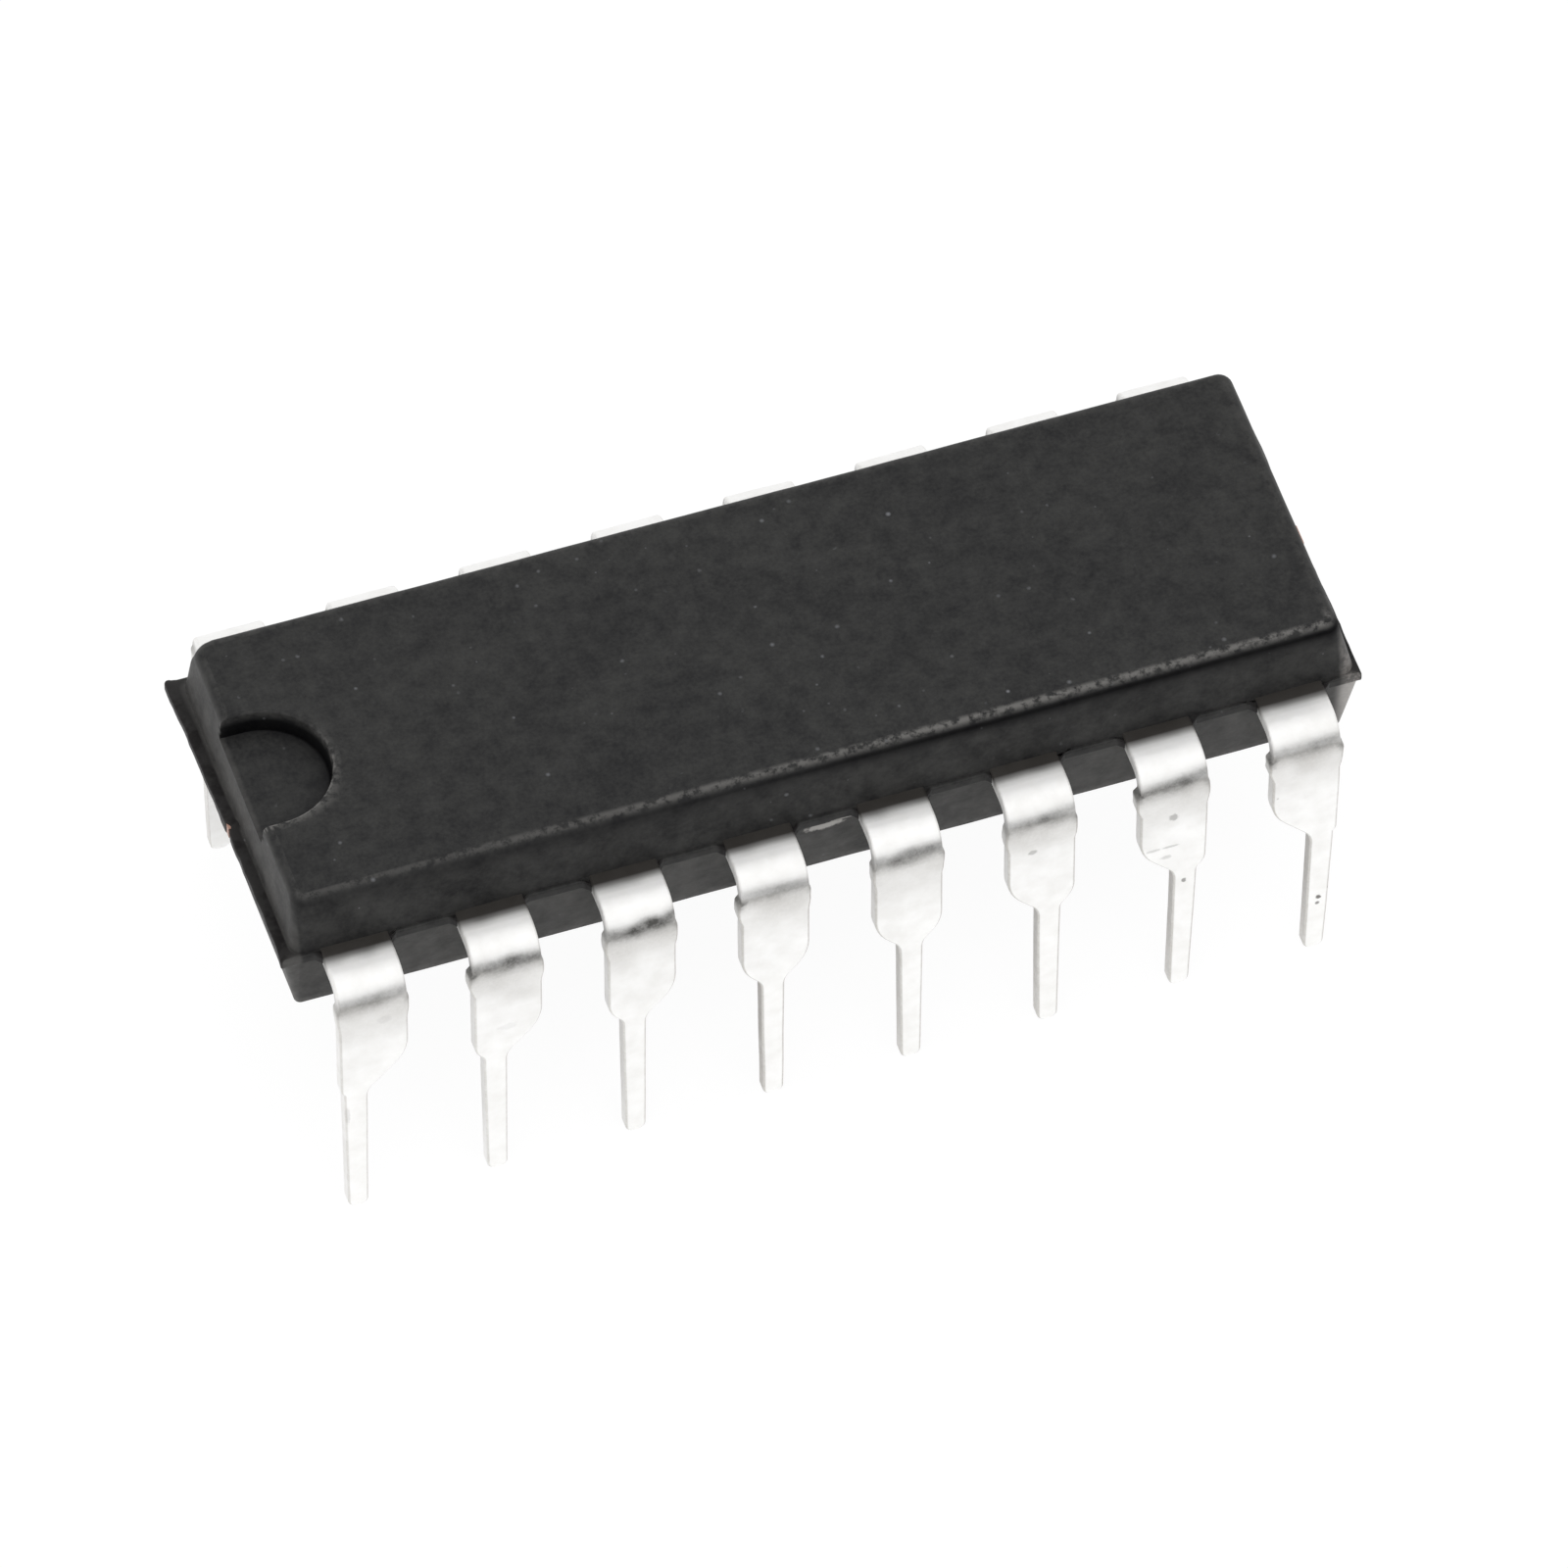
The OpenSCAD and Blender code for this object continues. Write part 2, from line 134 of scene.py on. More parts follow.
class LeadSettings(bpy.types.PropertyGroup):
    """Sizes and colours of the leads."""
    shoulder_pitch: length("Shoulder pitch", "Distance between neighbouring shoulders", 2.44)
    leg_pitch: length("Leg pitch", "Distance between neighbouring legs", 2.54)
    thickness: length("Thickness", "Thickness of the lead frame", 0.25)
    shoulder: length("Shoulder", "Width of a shoulder and of the blade below it", 1.24)
    reach: length("Reach", "Distance from the flange to the lead's outer face", 1.0)
    bend: length("Bend", "Outside radius of the bend", 0.5)
    blade_drop: length("Blade drop", "Drop from the parting plane to the narrow leg", 2.84)
    blade_slope: angle("Blade slope", "Slope of the blade's lower corners", 48)
    blade_round: length("Blade round", "Radius of the blade's lower corners", 0.95)
    leg: length("Leg", "Width of the leg below the blade", 0.43)
    tip: length("Tip", "Width of the leg at its tip", 0.37)
    tip_round: length("Tip round", "Radius of the tip's corners", 0.175)
    stub: length("Stub", "How far the cut dam bar stands out of the blade", 0.055)
    stub_height: length("Stub height", "Height of the cut dam bar", 0.65)
    root: length("Root", "Depth of the full-width root inside the moulding", 0.9)
    finger: length("Finger", "Width of the fingers inside the moulding", 0.32)
    gap: length("Gap", "Gap between the fingers and the paddle", 0.22)
    paddle_length: length("Paddle length", "Length of the paddle", 4.4)
    paddle_width: length("Paddle width", "Width of the paddle", 2.8)
    tie: length("Tie bar", "Width of the tie bars", 0.4)
    rolled: length("Rolled edge", "Radius of the stamped edge on the outer face", 0.045)
    sheared: length("Sheared edge", "Radius of the stamped edge on the inner face", 0.015)
    bright: colour("Bright tin", "Colour of clean tin plating", 0.985, 0.982, 0.972)
    dull: colour("Dull tin", "Colour of handled tin plating", 0.80, 0.785, 0.75)
    # Painted dark reflection on the bend, also standing for tin rubbed by the forming tool
    rub_and_reflection: colour("Smeared tin", "Colour of the tin rubbed by the forming tool", 0.10, 0.098, 0.092)
    haze: colour("Hazy tin", "Colour of the tin dulled below the bend", 0.62, 0.605, 0.58)
    # Grey of the stamped edges, also used as painted shade down the sides of the legs
    cut: colour("Cut edge", "Colour of the stamped edges", 0.42, 0.40, 0.37)
    # Painted shade and dark reflection of the moulding on a lead's root, also standing for resin bled over it
    bleed_and_shade: colour("Bled root", "Colour of the resin bled over a lead's root", 0.034, 0.031, 0.028)
    pit: colour("Pits", "Colour of the pits and marks in the tin", 0.10, 0.09, 0.08)
    copper: colour("Copper", "Colour of the bare copper alloy", 0.56, 0.33, 0.26)


class CoreSettings(bpy.types.PropertyGroup):
    """Colours of the parts inside the moulding."""
    silver: colour("Silver epoxy", "Colour of the silver-filled epoxy", 0.52, 0.52, 0.50)
    silicon: colour("Silicon", "Colour of the polished silicon", 0.10, 0.12, 0.17)
    gold: colour("Gold", "Colour of the bond wires", 0.86, 0.62, 0.23)


class StageSettings(bpy.types.PropertyGroup):
    """Camera, floor and light."""
    azimuth: angle("Azimuth", "Camera's turn from straight in front", -18.38)
    elevation: angle("Elevation", "Camera's height above level", 53.0)
    roll: angle("Roll", "Camera's turn about its own axis", -0.11)
    distance: length("Distance", "Camera's distance from its target", 350.5)
    lens: amount("Lens", "Focal length in millimetres on a 36 mm sensor", 458.26)
    aim_x: length("Target X", "Place along the body that the camera looks at", 0.335)
    aim_z: length("Target Z", "Height that the camera looks at", 3.039)
    ambient: amount("Ambient", "Strength of the plain light from all round", 0.56)
    glow: amount("Glow", "Strength of the lit floor", 0.50)
    fill: amount("Fill", "Strength of the floor's own light under its shadow", 0.38)
    whiteness: amount("Whiteness", "Share of plain white in the floor that the camera sees", 0.88)
    key: amount("Key", "Power of the soft lamp over the front, in watts", 0.42)
    rear: amount("Rear", "Power of the soft lamp over the rear, in watts", 0.14)


# Shapes worked out with numpy

def soft(share):
    """A share from 0 to 1 eased at both ends by 3t^2 - 2t^3."""
    return share * share * (3 - 2 * share)


def rise(value, start, width):
    """From 0 where the value is at the start to 1 a width further on, straight between."""
    return np.clip((value - start) / width, 0, 1)


def hump(value, centre, width, power=2):
    """A bell from 0 to 1: e to minus the distance from the centre over the width, to the given power."""
    return np.exp(-((value - centre) / width) ** power)


def columns(*parts):
    """Numbers and arrays side by side as the columns of a table."""
    return np.stack(np.broadcast_arrays(*parts), -1)


def noise(points, cell, seed):
    """Smooth noise from -1 to 1: random values on a cubic lattice, blended softly along each axis."""
    size = 32
    table = np.random.default_rng(seed).uniform(-1, 1, (size, size, size))
    place = np.asarray(points) / cell
    base = np.floor(place).astype(int)
    blend = soft(place - base)
    total = np.zeros(place.shape[:-1])
    for corner in np.ndindex(2, 2, 2):
        share = np.where(corner, blend, 1 - blend).prod(-1)
        at = (base + corner) % size
        total += share * table[at[..., 0], at[..., 1], at[..., 2]]
    return total


def blend_between(first, last, shares):
    """Straight lines from each point of one curve to the same point of another, cut at the given shares."""
    shares = np.asarray(shares)[:, None, None]
    return first * (1 - shares) + last * shares


def grid_quads(rows, width, start, closed):
    """Faces of a grid, numbered on from start; a closed grid joins its last column to its first."""
    index = start + np.arange(rows * width).reshape(rows, width)
    if closed:
        index = np.column_stack([index, index[:, 0]])
    return np.stack([index[:-1, :-1], index[:-1, 1:], index[1:, 1:], index[1:, :-1]], -1).reshape(-1, 4)


def welded(name, grids, masks):
    """One closed mesh from grids of points: equal points are merged and faces turned outwards.

    Each grid is (points, closed, values), where values holds one array per name in masks.
    """
    points, quads, values, start = [], [], [], 0
    for grid, closed, weights in grids:
        rows, width = grid.shape[:2]
        quads.append(grid_quads(rows, width, start, closed))
        points.append(grid.reshape(-1, 3))
        values.append(np.stack([np.broadcast_to(w, (rows, width)).ravel() for w in weights], -1))
        start += rows * width
    points, quads, values = np.concatenate(points), np.concatenate(quads), np.concatenate(values)
    mesh = bpy.data.meshes.new(name)
    mesh.from_pydata(points, [], quads)
    for mask, column in zip(masks, values.T):
        mesh.attributes.new(mask, "FLOAT", "POINT").data.foreach_set("value", column.astype(np.float32))
    shell = bmesh.new()
    shell.from_mesh(mesh)
    bmesh.ops.remove_doubles(shell, verts=shell.verts, dist=1e-4 * MM)
    bmesh.ops.dissolve_degenerate(shell, edges=shell.edges, dist=1e-5 * MM)
    bmesh.ops.recalc_face_normals(shell, faces=shell.faces)
    loose = sum(not edge.is_manifold for edge in shell.edges)
    if loose:
        raise RuntimeError(f"{name} isn't closed: {loose} edges don't join two faces")
    shell.to_mesh(mesh)
    shell.free()
    mesh.validate()
    mesh.shade_smooth()
    return mesh


def piece(name, mesh, material, slot, *nodes):
    """A new object at the origin that rides on the root body and stands for the given nodes."""
    made = bpy.data.objects.new(name, mesh)
    bpy.context.scene.collection.objects.link(made)
    mesh.materials.clear()
    mesh.materials.append(material)
    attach(made, "root")
    if nodes:
        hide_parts(*nodes)
    return made


# Moulding

END_STEPS = 14
CORNER_STEPS = 6
RIGHT_STEPS = 40
SPLIT = -0.70
NOTCH_DRAFT = math.radians(4)
# The flange's ends: drawn in at the left tie bar, out beside it, and in over the right tie bar
TIE_DIP, TIE_COVER, RIGHT_WINDOW = 0.05 * MM, 0.014 * MM, 0.045 * MM
# Extra reach of the flange's rear left corner, and of the upper half's right end at its foot
REAR_SPREAD, FOOT_SPREAD = 0.09 * MM, 0.13 * MM
# The chipped top corner: half-sizes of the chip in millimetres and its greatest shift
CHIP_REACH, CHIP_DEPTH = np.array([0.55, 0.5, 0.5]), np.array([0.10, -0.10, -0.07])
# Scuffs of the lowest rows, painted highlight and shade of the highest, and how far across the rows of a face
# lie
BOTTOM_WEAR = (0.3, 0.8, 1, 0.8, 0.3)
TOP_HIGHLIGHT_AND_WEAR = (0, 0, 0, 0, 0.1, 0.3, 0.6, 0.9, 1, 0.9)
TOP_SHADE = (0.1, 0.3, 0.6, 0.8, 0.9, 0.9, 0.8, 0.6, 0.35, 0.15, 0, 0, 0)
NOTCH_RINGS = (0, 0.02, 0.08, 0.2, 0.4, 0.6, 0.8, 0.92, 0.98, 1)
FLOOR_RINGS, FLOOR_SHADE = (0, 0.04, 0.12, 0.3, 0.65, 1), (1.0, 0.55, 0.2, 0, 0, 0)
FACE_RINGS = (0, 0.02, 0.1, 0.35, 0.65, 0.9, 0.98, 1)


def moulding_levels(s):
    """Outlines of the moulding from its bottom face up, one row per level.

    Columns: height over the parting plane, half length, half width, corner radius, shift, and share of flash.
    A wall at height z is drawn in by |z| times the tangent of its draft. An edge rounded to r is inset by
    r(1 - cos a) at a height of r(1 - sin a) from its face.
    """
    def wall(z, inset, ledge, draft, corner, shift):
        half_x = s.half_length - ledge - abs(z) * math.tan(draft) - inset
        half_y = s.half_width - s.flange_side - abs(z) * math.tan(s.side_draft) - inset
        return columns(z, half_x, half_y, corner - inset, shift, 0.0)

    def lower(z, inset=0.0):
        return wall(z, inset, s.lower_ledge, s.lower_draft, s.lower_corner, s.mismatch)

    def upper(z, inset=0.0):
        return wall(z, inset, s.upper_ledge, s.upper_draft, s.upper_corner, 0.0)

    def flange(z, inset):
        return columns(z, s.half_length - inset, s.half_width - inset, s.flange_edge, 0.0, 1.0)

    turn = np.linspace(math.pi / 2, 0, 5)
    fine = np.linspace(0, math.pi / 2, 10)
    lift, inset = 1 - np.sin(turn), 1 - np.cos(turn)
    half = s.flange / 2
    bottom = lower(-s.lower_height + s.lower_edge * lift, s.lower_edge * inset)
    lower_wall = lower(np.linspace(-s.lower_height + s.lower_edge, -half, 9)[1:])
    under = flange(-half + s.flange_edge * lift, s.flange_edge * inset)
    middle = flange(np.linspace(-half + s.flange_edge, half - s.flange_edge, 5)[1:-1], 0.0)
    over = flange(half - s.flange_edge * lift[::-1], s.flange_edge * inset[::-1])
    floor = s.upper_height - s.notch_depth
    upper_wall = upper(np.linspace(half, floor, 6))
    shelf = [(lower_wall[-1:] * (1 - share) + under[:1] * share) for share in (0.15, 0.5)]
    shelf += [(upper_wall[:1] * (1 - share) + over[-1:] * share) for share in (0.5, 0.15)]
    for row in shelf:
        row[:, 5] = 1
    closed = np.concatenate([bottom, lower_wall, *shelf[:2], under, middle, over, *shelf[2:], upper_wall])
    brow = s.upper_height - s.upper_edge
    opened = np.concatenate([
        upper(np.linspace(floor, brow, 5)[:-1]),
        upper(brow + s.upper_edge * np.sin(fine), s.upper_edge * (1 - np.cos(fine)))])
    return closed, opened


def outline_stations(s, lead):
    """Shares from -1 to 1 of the straight half-length at which the long sides have points.

    They stand 0.17 mm apart, with closer ones where the beads of resin beside the leads fall away.
    """
    half = s.half_length - s.flange_edge
    even = np.arange(-57, 58) / 57
    shoulders = (np.arange(PER_SIDE) - MIDDLE) * lead.shoulder_pitch
    edges = (shoulders[:, None] + np.array([-0.5, 0.5]) * lead.shoulder).reshape(-1, 1)
    steps = np.linspace(-1, 1, 7) * 1.3 * s.bead
    close = ((edges + steps) / half).ravel()
    stations = np.unique(np.round(np.concatenate([even, close, [SPLIT, 0.0]]), 5))
    keep = np.concatenate([[True], np.diff(stations) > 0.0012])
    keep |= np.isin(stations, np.round([-1, SPLIT, 0.0, 1], 5))
    return stations[keep & (abs(stations) <= 1)]


def ring_table(stations, notch_points):
    """One row per outline point, anticlockwise from the notch's front side.

    Columns: multiples of the straight half-length, of the straight half-width, of the corner radius along x
    and along y, and of the notch's half-width. The last rows cross the notch's opening.
    """
    def arc(sx, sy, start):
        a = np.radians(start + np.linspace(0, 90, CORNER_STEPS + 1)[:-1])
        return columns(sx, sy, np.cos(a), np.sin(a), 0.0)

    end = np.linspace(0, 1, END_STEPS + 1)
    right = np.linspace(-1, 1, RIGHT_STEPS + 1)[:-1]
    across = np.linspace(1, -1, notch_points)[1:-1]
    opened = np.concatenate([
        columns(-1.0, -end[:-1], -1.0, 0.0, end[:-1] - 1),
        arc(-1.0, -1.0, 180),
        columns(stations[:-1], -1.0, 0.0, -1.0, 0.0),
        arc(1.0, -1.0, 270),
        columns(1.0, right, 1.0, 0.0, 0.0),
        arc(1.0, 1.0, 0),
        columns(stations[:0:-1], 1.0, 0.0, 1.0, 0.0),
        arc(-1.0, 1.0, 90),
        columns(-1.0, end[::-1], -1.0, 0.0, 1 - end[::-1])])
    return opened, columns(-1.0, 0.0, -1.0, 0.0, across)


def ring_points(table, levels, notch):
    """Points of each level's outline: its half-sizes, corner radius and notch width times the table's."""
    z, half_x, half_y, radius, shift = (levels[:, i, None] for i in range(5))
    x = table[:, 0] * (half_x - radius) + table[:, 2] * radius + shift
    y = table[:, 1] * (half_y - radius) + table[:, 3] * radius + table[:, 4] * notch[:, None]
    return columns(x, y, z)


def flash_offset(points, table, s, lead):
    """How far the torn flange stands out at each point, and its share of dark bled resin.

    The edge wanders by noise at two sizes. Beside each root a bead of resin stands out by its full size at
    the lead and falls straight to nothing over its own width.
    """
    wander = noise(points, 0.9 * MM, 3) * 0.6 + noise(points, 0.21 * MM, 4) * 0.4
    y, ends, left = points[..., 1], abs(table[:, 2]), table[:, 2] < 0
    tie, cover = hump(y, -0.15 * MM, 0.07 * MM), hump(y, 0.08 * MM, 0.22 * MM, 4)
    spread = REAR_SPREAD * np.clip(y / s.half_width, 0, 1) * left
    window = hump(y, 0.0, 0.21 * MM, 8) * ~left
    offset = (s.waver * 0.6 * wander * (1 - cover) + TIE_COVER * cover - TIE_DIP * tie * left + spread
              - RIGHT_WINDOW * window) * ends
    offset -= 0.3 * s.waver * (0.5 + 0.5 * wander) * (1 - ends)
    shoulders = (np.arange(PER_SIDE) - MIDDLE) * lead.shoulder_pitch
    away = points[..., 0, None] - shoulders
    outside = abs(away) - lead.shoulder / 2
    edges = columns(shoulders + np.sign(away) * lead.shoulder / 2, np.sign(y[..., None]), 0.0)
    uneven = 0.85 + 0.35 * noise(edges, 0.7 * MM, 5)
    fall = np.where(outside > 0, 1 - outside / (s.bead * uneven), 1 + outside / (0.4 * s.bead))
    bead = (s.bead * uneven * np.clip(fall, 0, 1)).max(-1)
    return offset + bead * (1 - ends), ends + (1 - ends) * np.clip(2.5 * bead / s.bead, 0, 1)


def lean_out(points, chosen, s):
    """Widen the upper half's right end towards its foot, from nothing at the top to most at the flange."""
    end = rise(points[..., 0], 8.8 * MM, 0.5 * MM)
    fall = (s.upper_height - points[..., 2]) / (s.upper_height - s.flange / 2)
    above = (points[..., 2] > s.flange / 2 - 0.001 * MM) & chosen[:, None]
    points[..., 0] += FOOT_SPREAD * end * np.clip(fall, 0, 1) * above


def unevenness(points, s):
    """Shift of every point of a real moulding: a few microns of noise, and one corner chipped round."""
    fine, coarse = (columns(*(noise(points, cell * MM, seed + axis) for axis in range(3))) * depth * MM
                    for cell, seed, depth in ((0.55, 11, 0.004), (2.6, 21, 0.010)))
    corner = np.array([-s.half_length + s.upper_ledge, s.half_width - s.flange_side, s.upper_height])
    reach = np.linalg.norm((points - corner) / CHIP_REACH, axis=-1) / MM
    chip = np.clip(1 - reach, 0, 1)[..., None] * CHIP_DEPTH * MM
    return fine + coarse + chip


def notch_curve(guide, start_x, centre_x, half_width, z):
    """The notch's U at one level: straights at y = +-w and the half circle of radius w between them."""
    straight, share, side, cos, sin = guide
    x = np.where(straight, start_x + share * (centre_x - start_x), centre_x + half_width * cos)
    y = np.where(straight, side * half_width, half_width * sin)
    return columns(x, y, z)


def moulding_mesh(s, lead):
    """The moulding as one closed skin of grids that share their borders.

    Outlines are lofted from the bottom face to the notch's floor and, open at the notch, on to the top. The
    top round the notch runs in rays from the U's centre, the rest in lines across, and each half of the
    bottom runs in rays from its ejector mark.
    """
    stations = outline_stations(s, lead)
    ends = 2 * CORNER_STEPS + RIGHT_STEPS
    left = int(np.argmin(abs(stations - SPLIT)))
    first = END_STEPS + CORNER_STEPS
    notch_points = 2 * (first + left) + ends + 1
    opened, crossing = ring_table(stations, notch_points)
    table = np.concatenate([opened, crossing])
    count = len(opened)
    low, high = moulding_levels(s)
    floor = s.upper_height - s.notch_depth
    draft = math.tan(NOTCH_DRAFT)

    def half_notch(z):
        depth = s.upper_height - z
        lip = np.clip(s.notch_rim - depth, 0, None)
        return s.notch_radius - depth * draft + s.notch_rim - np.sqrt(s.notch_rim ** 2 - lip ** 2)

    shell = ring_points(table, low, np.full(len(low), half_notch(np.array(floor))))
    push, bled = flash_offset(shell, table, s, lead)
    push = push * low[:, 5, None]
    shell[..., 0] += push * table[:, 2]
    shell[..., 1] += push * table[:, 3]
    clear = (table[:, 2] > 0) & (abs(low[:, 5, None] - 1) < 0.1) & (shell[..., 0] > s.half_length - 0.09 * MM)
    over_tie = hump(shell[..., 1], 0.0, 0.28 * MM, 6) * abs(table[:, 2]) * (1 - 0.9 * clear)
    shell[..., 2] *= 1 + 0.48 * over_tie * (abs(shell[..., 2]) < s.flange / 2 + 0.001 * MM)
    widths = half_notch(high[:, 0])
    brow = ring_points(opened, high, widths)

    top, centre = brow[-1], np.array([-s.half_length + s.notch_length - s.notch_radius, 0.0, s.upper_height])
    near, far = first + left, count - 1 - first - left
    curve = top[first + len(stations) - 1:count - first - len(stations) + 1]
    across = curve[:, 1] / top[near, 1] * -1
    lines = top[near:first + len(stations)][:, None] * np.array([1, 0, 1])
    lines = lines + np.array([0.0, 1, 0]) * across[None, :, None] * abs(top[near, 1])
    lines = np.concatenate([lines, curve[None]])
    border = np.concatenate([top[:near + 1], lines[0, 1:-1], top[far:]])
    ray = border - centre
    straight = ray[:, 0] < 0
    reach = np.hypot(ray[:, 0], ray[:, 1])
    side = np.sign(ray[:, 1])
    along = ray[:, 0] * widths[-1] / np.where(straight, abs(ray[:, 1]), 1)
    share = np.where(straight, 1 - along / (top[0, 0] - centre[0]), 0)
    guide = (straight, share, side, ray[:, 0] / reach, ray[:, 1] / reach)
    wall = np.stack([notch_curve(guide, ring[0, 0], centre[0], width, ring[0, 2])
                     for ring, width in zip(brow, widths)])
    sill = np.concatenate([shell[-1][:1], shell[-1][count:][::-1], shell[-1][count - 1:count]])

    bottom = shell[0]
    rear_mid = first + len(stations) - 1 + ends + int(np.argmin(abs(stations[::-1])))
    front_mid = first + int(np.argmin(abs(stations)))
    mid_line = blend_between(bottom[front_mid][None], bottom[rear_mid][None], (across + 1) / 2)[1:-1, 0]
    order = np.roll(np.arange(len(table)), -rear_mid)[:len(table) - rear_mid + front_mid + 1]
    halves = [np.concatenate([bottom[order], mid_line]),
              np.concatenate([bottom[front_mid:rear_mid + 1], mid_line[::-1]])]

    edge_low = np.append(BOTTOM_WEAR, np.zeros(len(low) - len(BOTTOM_WEAR)))
    # Painted highlight along the top edge and round the notch's rim, and painted shade under the top edge and
    # down the notch's wall
    top_highlight_and_wear, shade_high, rim_highlight = (
        np.append(np.zeros(len(high) - len(weights)), weights)
        for weights in (TOP_HIGHLIGHT_AND_WEAR, TOP_SHADE, np.sin(np.linspace(0.1, 0.9, 10) * math.pi)))
    # The notch's rim gets more painted highlight on its near side and less on its far side
    near_highlight = np.clip(0.9 - wall[..., 1] / (0.9 * MM), 0.15, 1.9)
    shade_rim = np.linspace(1.0, 0.5, len(high)) * (1 - rim_highlight)
    beside = rise(abs(across), 0.975, 0.025) * 0.9

    def painted_light_by_side(points, least):
        """Weight of the painted highlight and shade.

        From 0.12 at the ends and the rear to 1 along the front, where it also rises from left to right.
        """
        along = least + (1 - least) * rise(points[..., 0], -7 * MM, 9 * MM)
        return 0.12 + 0.88 * rise(-points[..., 1], 2.55 * MM, 0.25 * MM) * along

    outer = np.zeros(len(border))
    outer[:near] = outer[-near:] = 0.9
    lines_highlight = np.broadcast_to(beside, lines.shape[:2]).copy()
    lines_highlight[-1] = 0.9
    round_notch = blend_between(wall[-1], border, NOTCH_RINGS)
    round_highlight = np.zeros(round_notch.shape[:2])
    round_highlight[0], round_highlight[-1] = rim_highlight[-1] * near_highlight[-1], outer * painted_light_by_side(border, 0.2)
    round_highlight[1], round_highlight[2] = round_highlight[0] * 0.8, round_highlight[0] * 0.12
    floor_grid, floor_shade = blend_between(wall[0], sill, FLOOR_RINGS), np.array(FLOOR_SHADE)[:, None]
    lean_out(shell, low[:, 5] == 0, s)
    lean_out(brow, np.full(len(high), True), s)
    # Painted highlight and painted shade along the top edge, strongest along the front and towards the right
    highlit_and_worn, shaded = top_highlight_and_wear[:, None] * painted_light_by_side(brow, 0.2), shade_high[:, None] * painted_light_by_side(brow, 0.7) ** 2
    grids = [(shell, True, (edge_low[:, None], low[:, 5, None] * bled, 0.0)),
             (brow, False, (highlit_and_worn, 0.0, shaded)),
             (wall, False, (rim_highlight[:, None] * near_highlight, 0.0, shade_rim[:, None])),
             (floor_grid, False, (0.0, 0.0, floor_shade)),
             (lines, False, (lines_highlight * painted_light_by_side(lines, 0.2), 0.0, 0.0)),
             (round_notch, False, (round_highlight, 0.0, 0.0))]
    for loop, sign in zip(halves, (-1, 1)):
        hub = np.array([sign * s.ejector_offset + s.mismatch, 0, -s.lower_height])
        spoke = loop - hub
        spoke /= np.linalg.norm(spoke, axis=1)[:, None]
        rim = hub + spoke * s.ejector_radius
        foot = hub + spoke * (s.ejector_radius - 0.02 * MM) + np.array([0, 0, s.ejector_depth])
        inner = hub + np.array([0, 0, s.ejector_depth]) + 0 * foot
        recess = np.concatenate([rim[None], foot[None], blend_between(foot, inner, [0.05, 0.4, 1])])
        face = blend_between(loop, rim, FACE_RINGS)
        grids += [(face, True, (0.0, 0.0, 0.0)), (recess, True, (0.0, 0.0, 0.0))]

    lift = np.array([0, 0, s.parting])
    raised = [(grid + unevenness(grid, s) + lift, closed, values) for grid, closed, values in grids]
    mesh = welded("moulding", raised, ("edge", "flash", "shade"))
    mesh.set_sharp_from_angle(angle=math.radians(40))
    return mesh


# Leads

def rounded_line(corners, radii, steps=7):
    """A line through corners (x, z), with each corner turned on an arc of its radius.

    The arc touches both arms at r / tan(half the corner's angle) from the corner.
    """
    corners = np.asarray(corners, float)
    made = [corners[:1]]
    for before, at, after, radius in zip(corners[:-2], corners[1:-1], corners[2:], radii):
        arms = np.stack([before - at, after - at])
        arms /= np.linalg.norm(arms, axis=1)[:, None]
        half = math.acos(float(np.clip(arms[0] @ arms[1], -1, 1))) / 2
        middle = arms.sum(0)
        centre = at + middle / np.linalg.norm(middle) * radius / math.sin(half)
        spans = at + arms * radius / math.tan(half) - centre
        start, stop = np.arctan2(spans[:, 1], spans[:, 0])
        sweep = (stop - start + math.pi) % (2 * math.pi) - math.pi
        turn = start + sweep * np.linspace(0, 1, steps)
        made.append(centre + radius * np.stack([np.cos(turn), np.sin(turn)], -1))
    return np.concatenate(made + [corners[-1:]])


def section_table(s):
    """Outline of a stamped strip, one row per point, clockwise from the outer face's left end.

    Columns: place across from -1 to 1, side of the thickness, direction across and through the strip of the
    rounding, its radius, and how much the point belongs to an edge.
    """
    face = np.linspace(-1, 1, 15)
    quarter = np.radians([22.5, 45, 67.5])

    def corner(u, side, radius, turn):
        return columns(u, side, u * np.sin(turn), side * np.cos(turn), radius, 1.0)

    def flank(u, *side):
        return columns(u, side, u, 0.0, np.where(np.array(side) > 0, s.rolled, s.sheared), 0.5)

    return np.concatenate([
        columns(face, 1.0, 0.0, 1.0, s.rolled, 0.0), corner(1.0, 1.0, s.rolled, quarter),
        flank(1.0, 1.0, -1.0), corner(1.0, -1.0, s.sheared, quarter[::-1]),
        columns(face[::-1], -1.0, 0.0, -1.0, s.sheared, 0.0), corner(-1.0, -1.0, s.sheared, quarter),
        flank(-1.0, -1.0, 1.0), corner(-1.0, 1.0, s.rolled, quarter[::-1])])


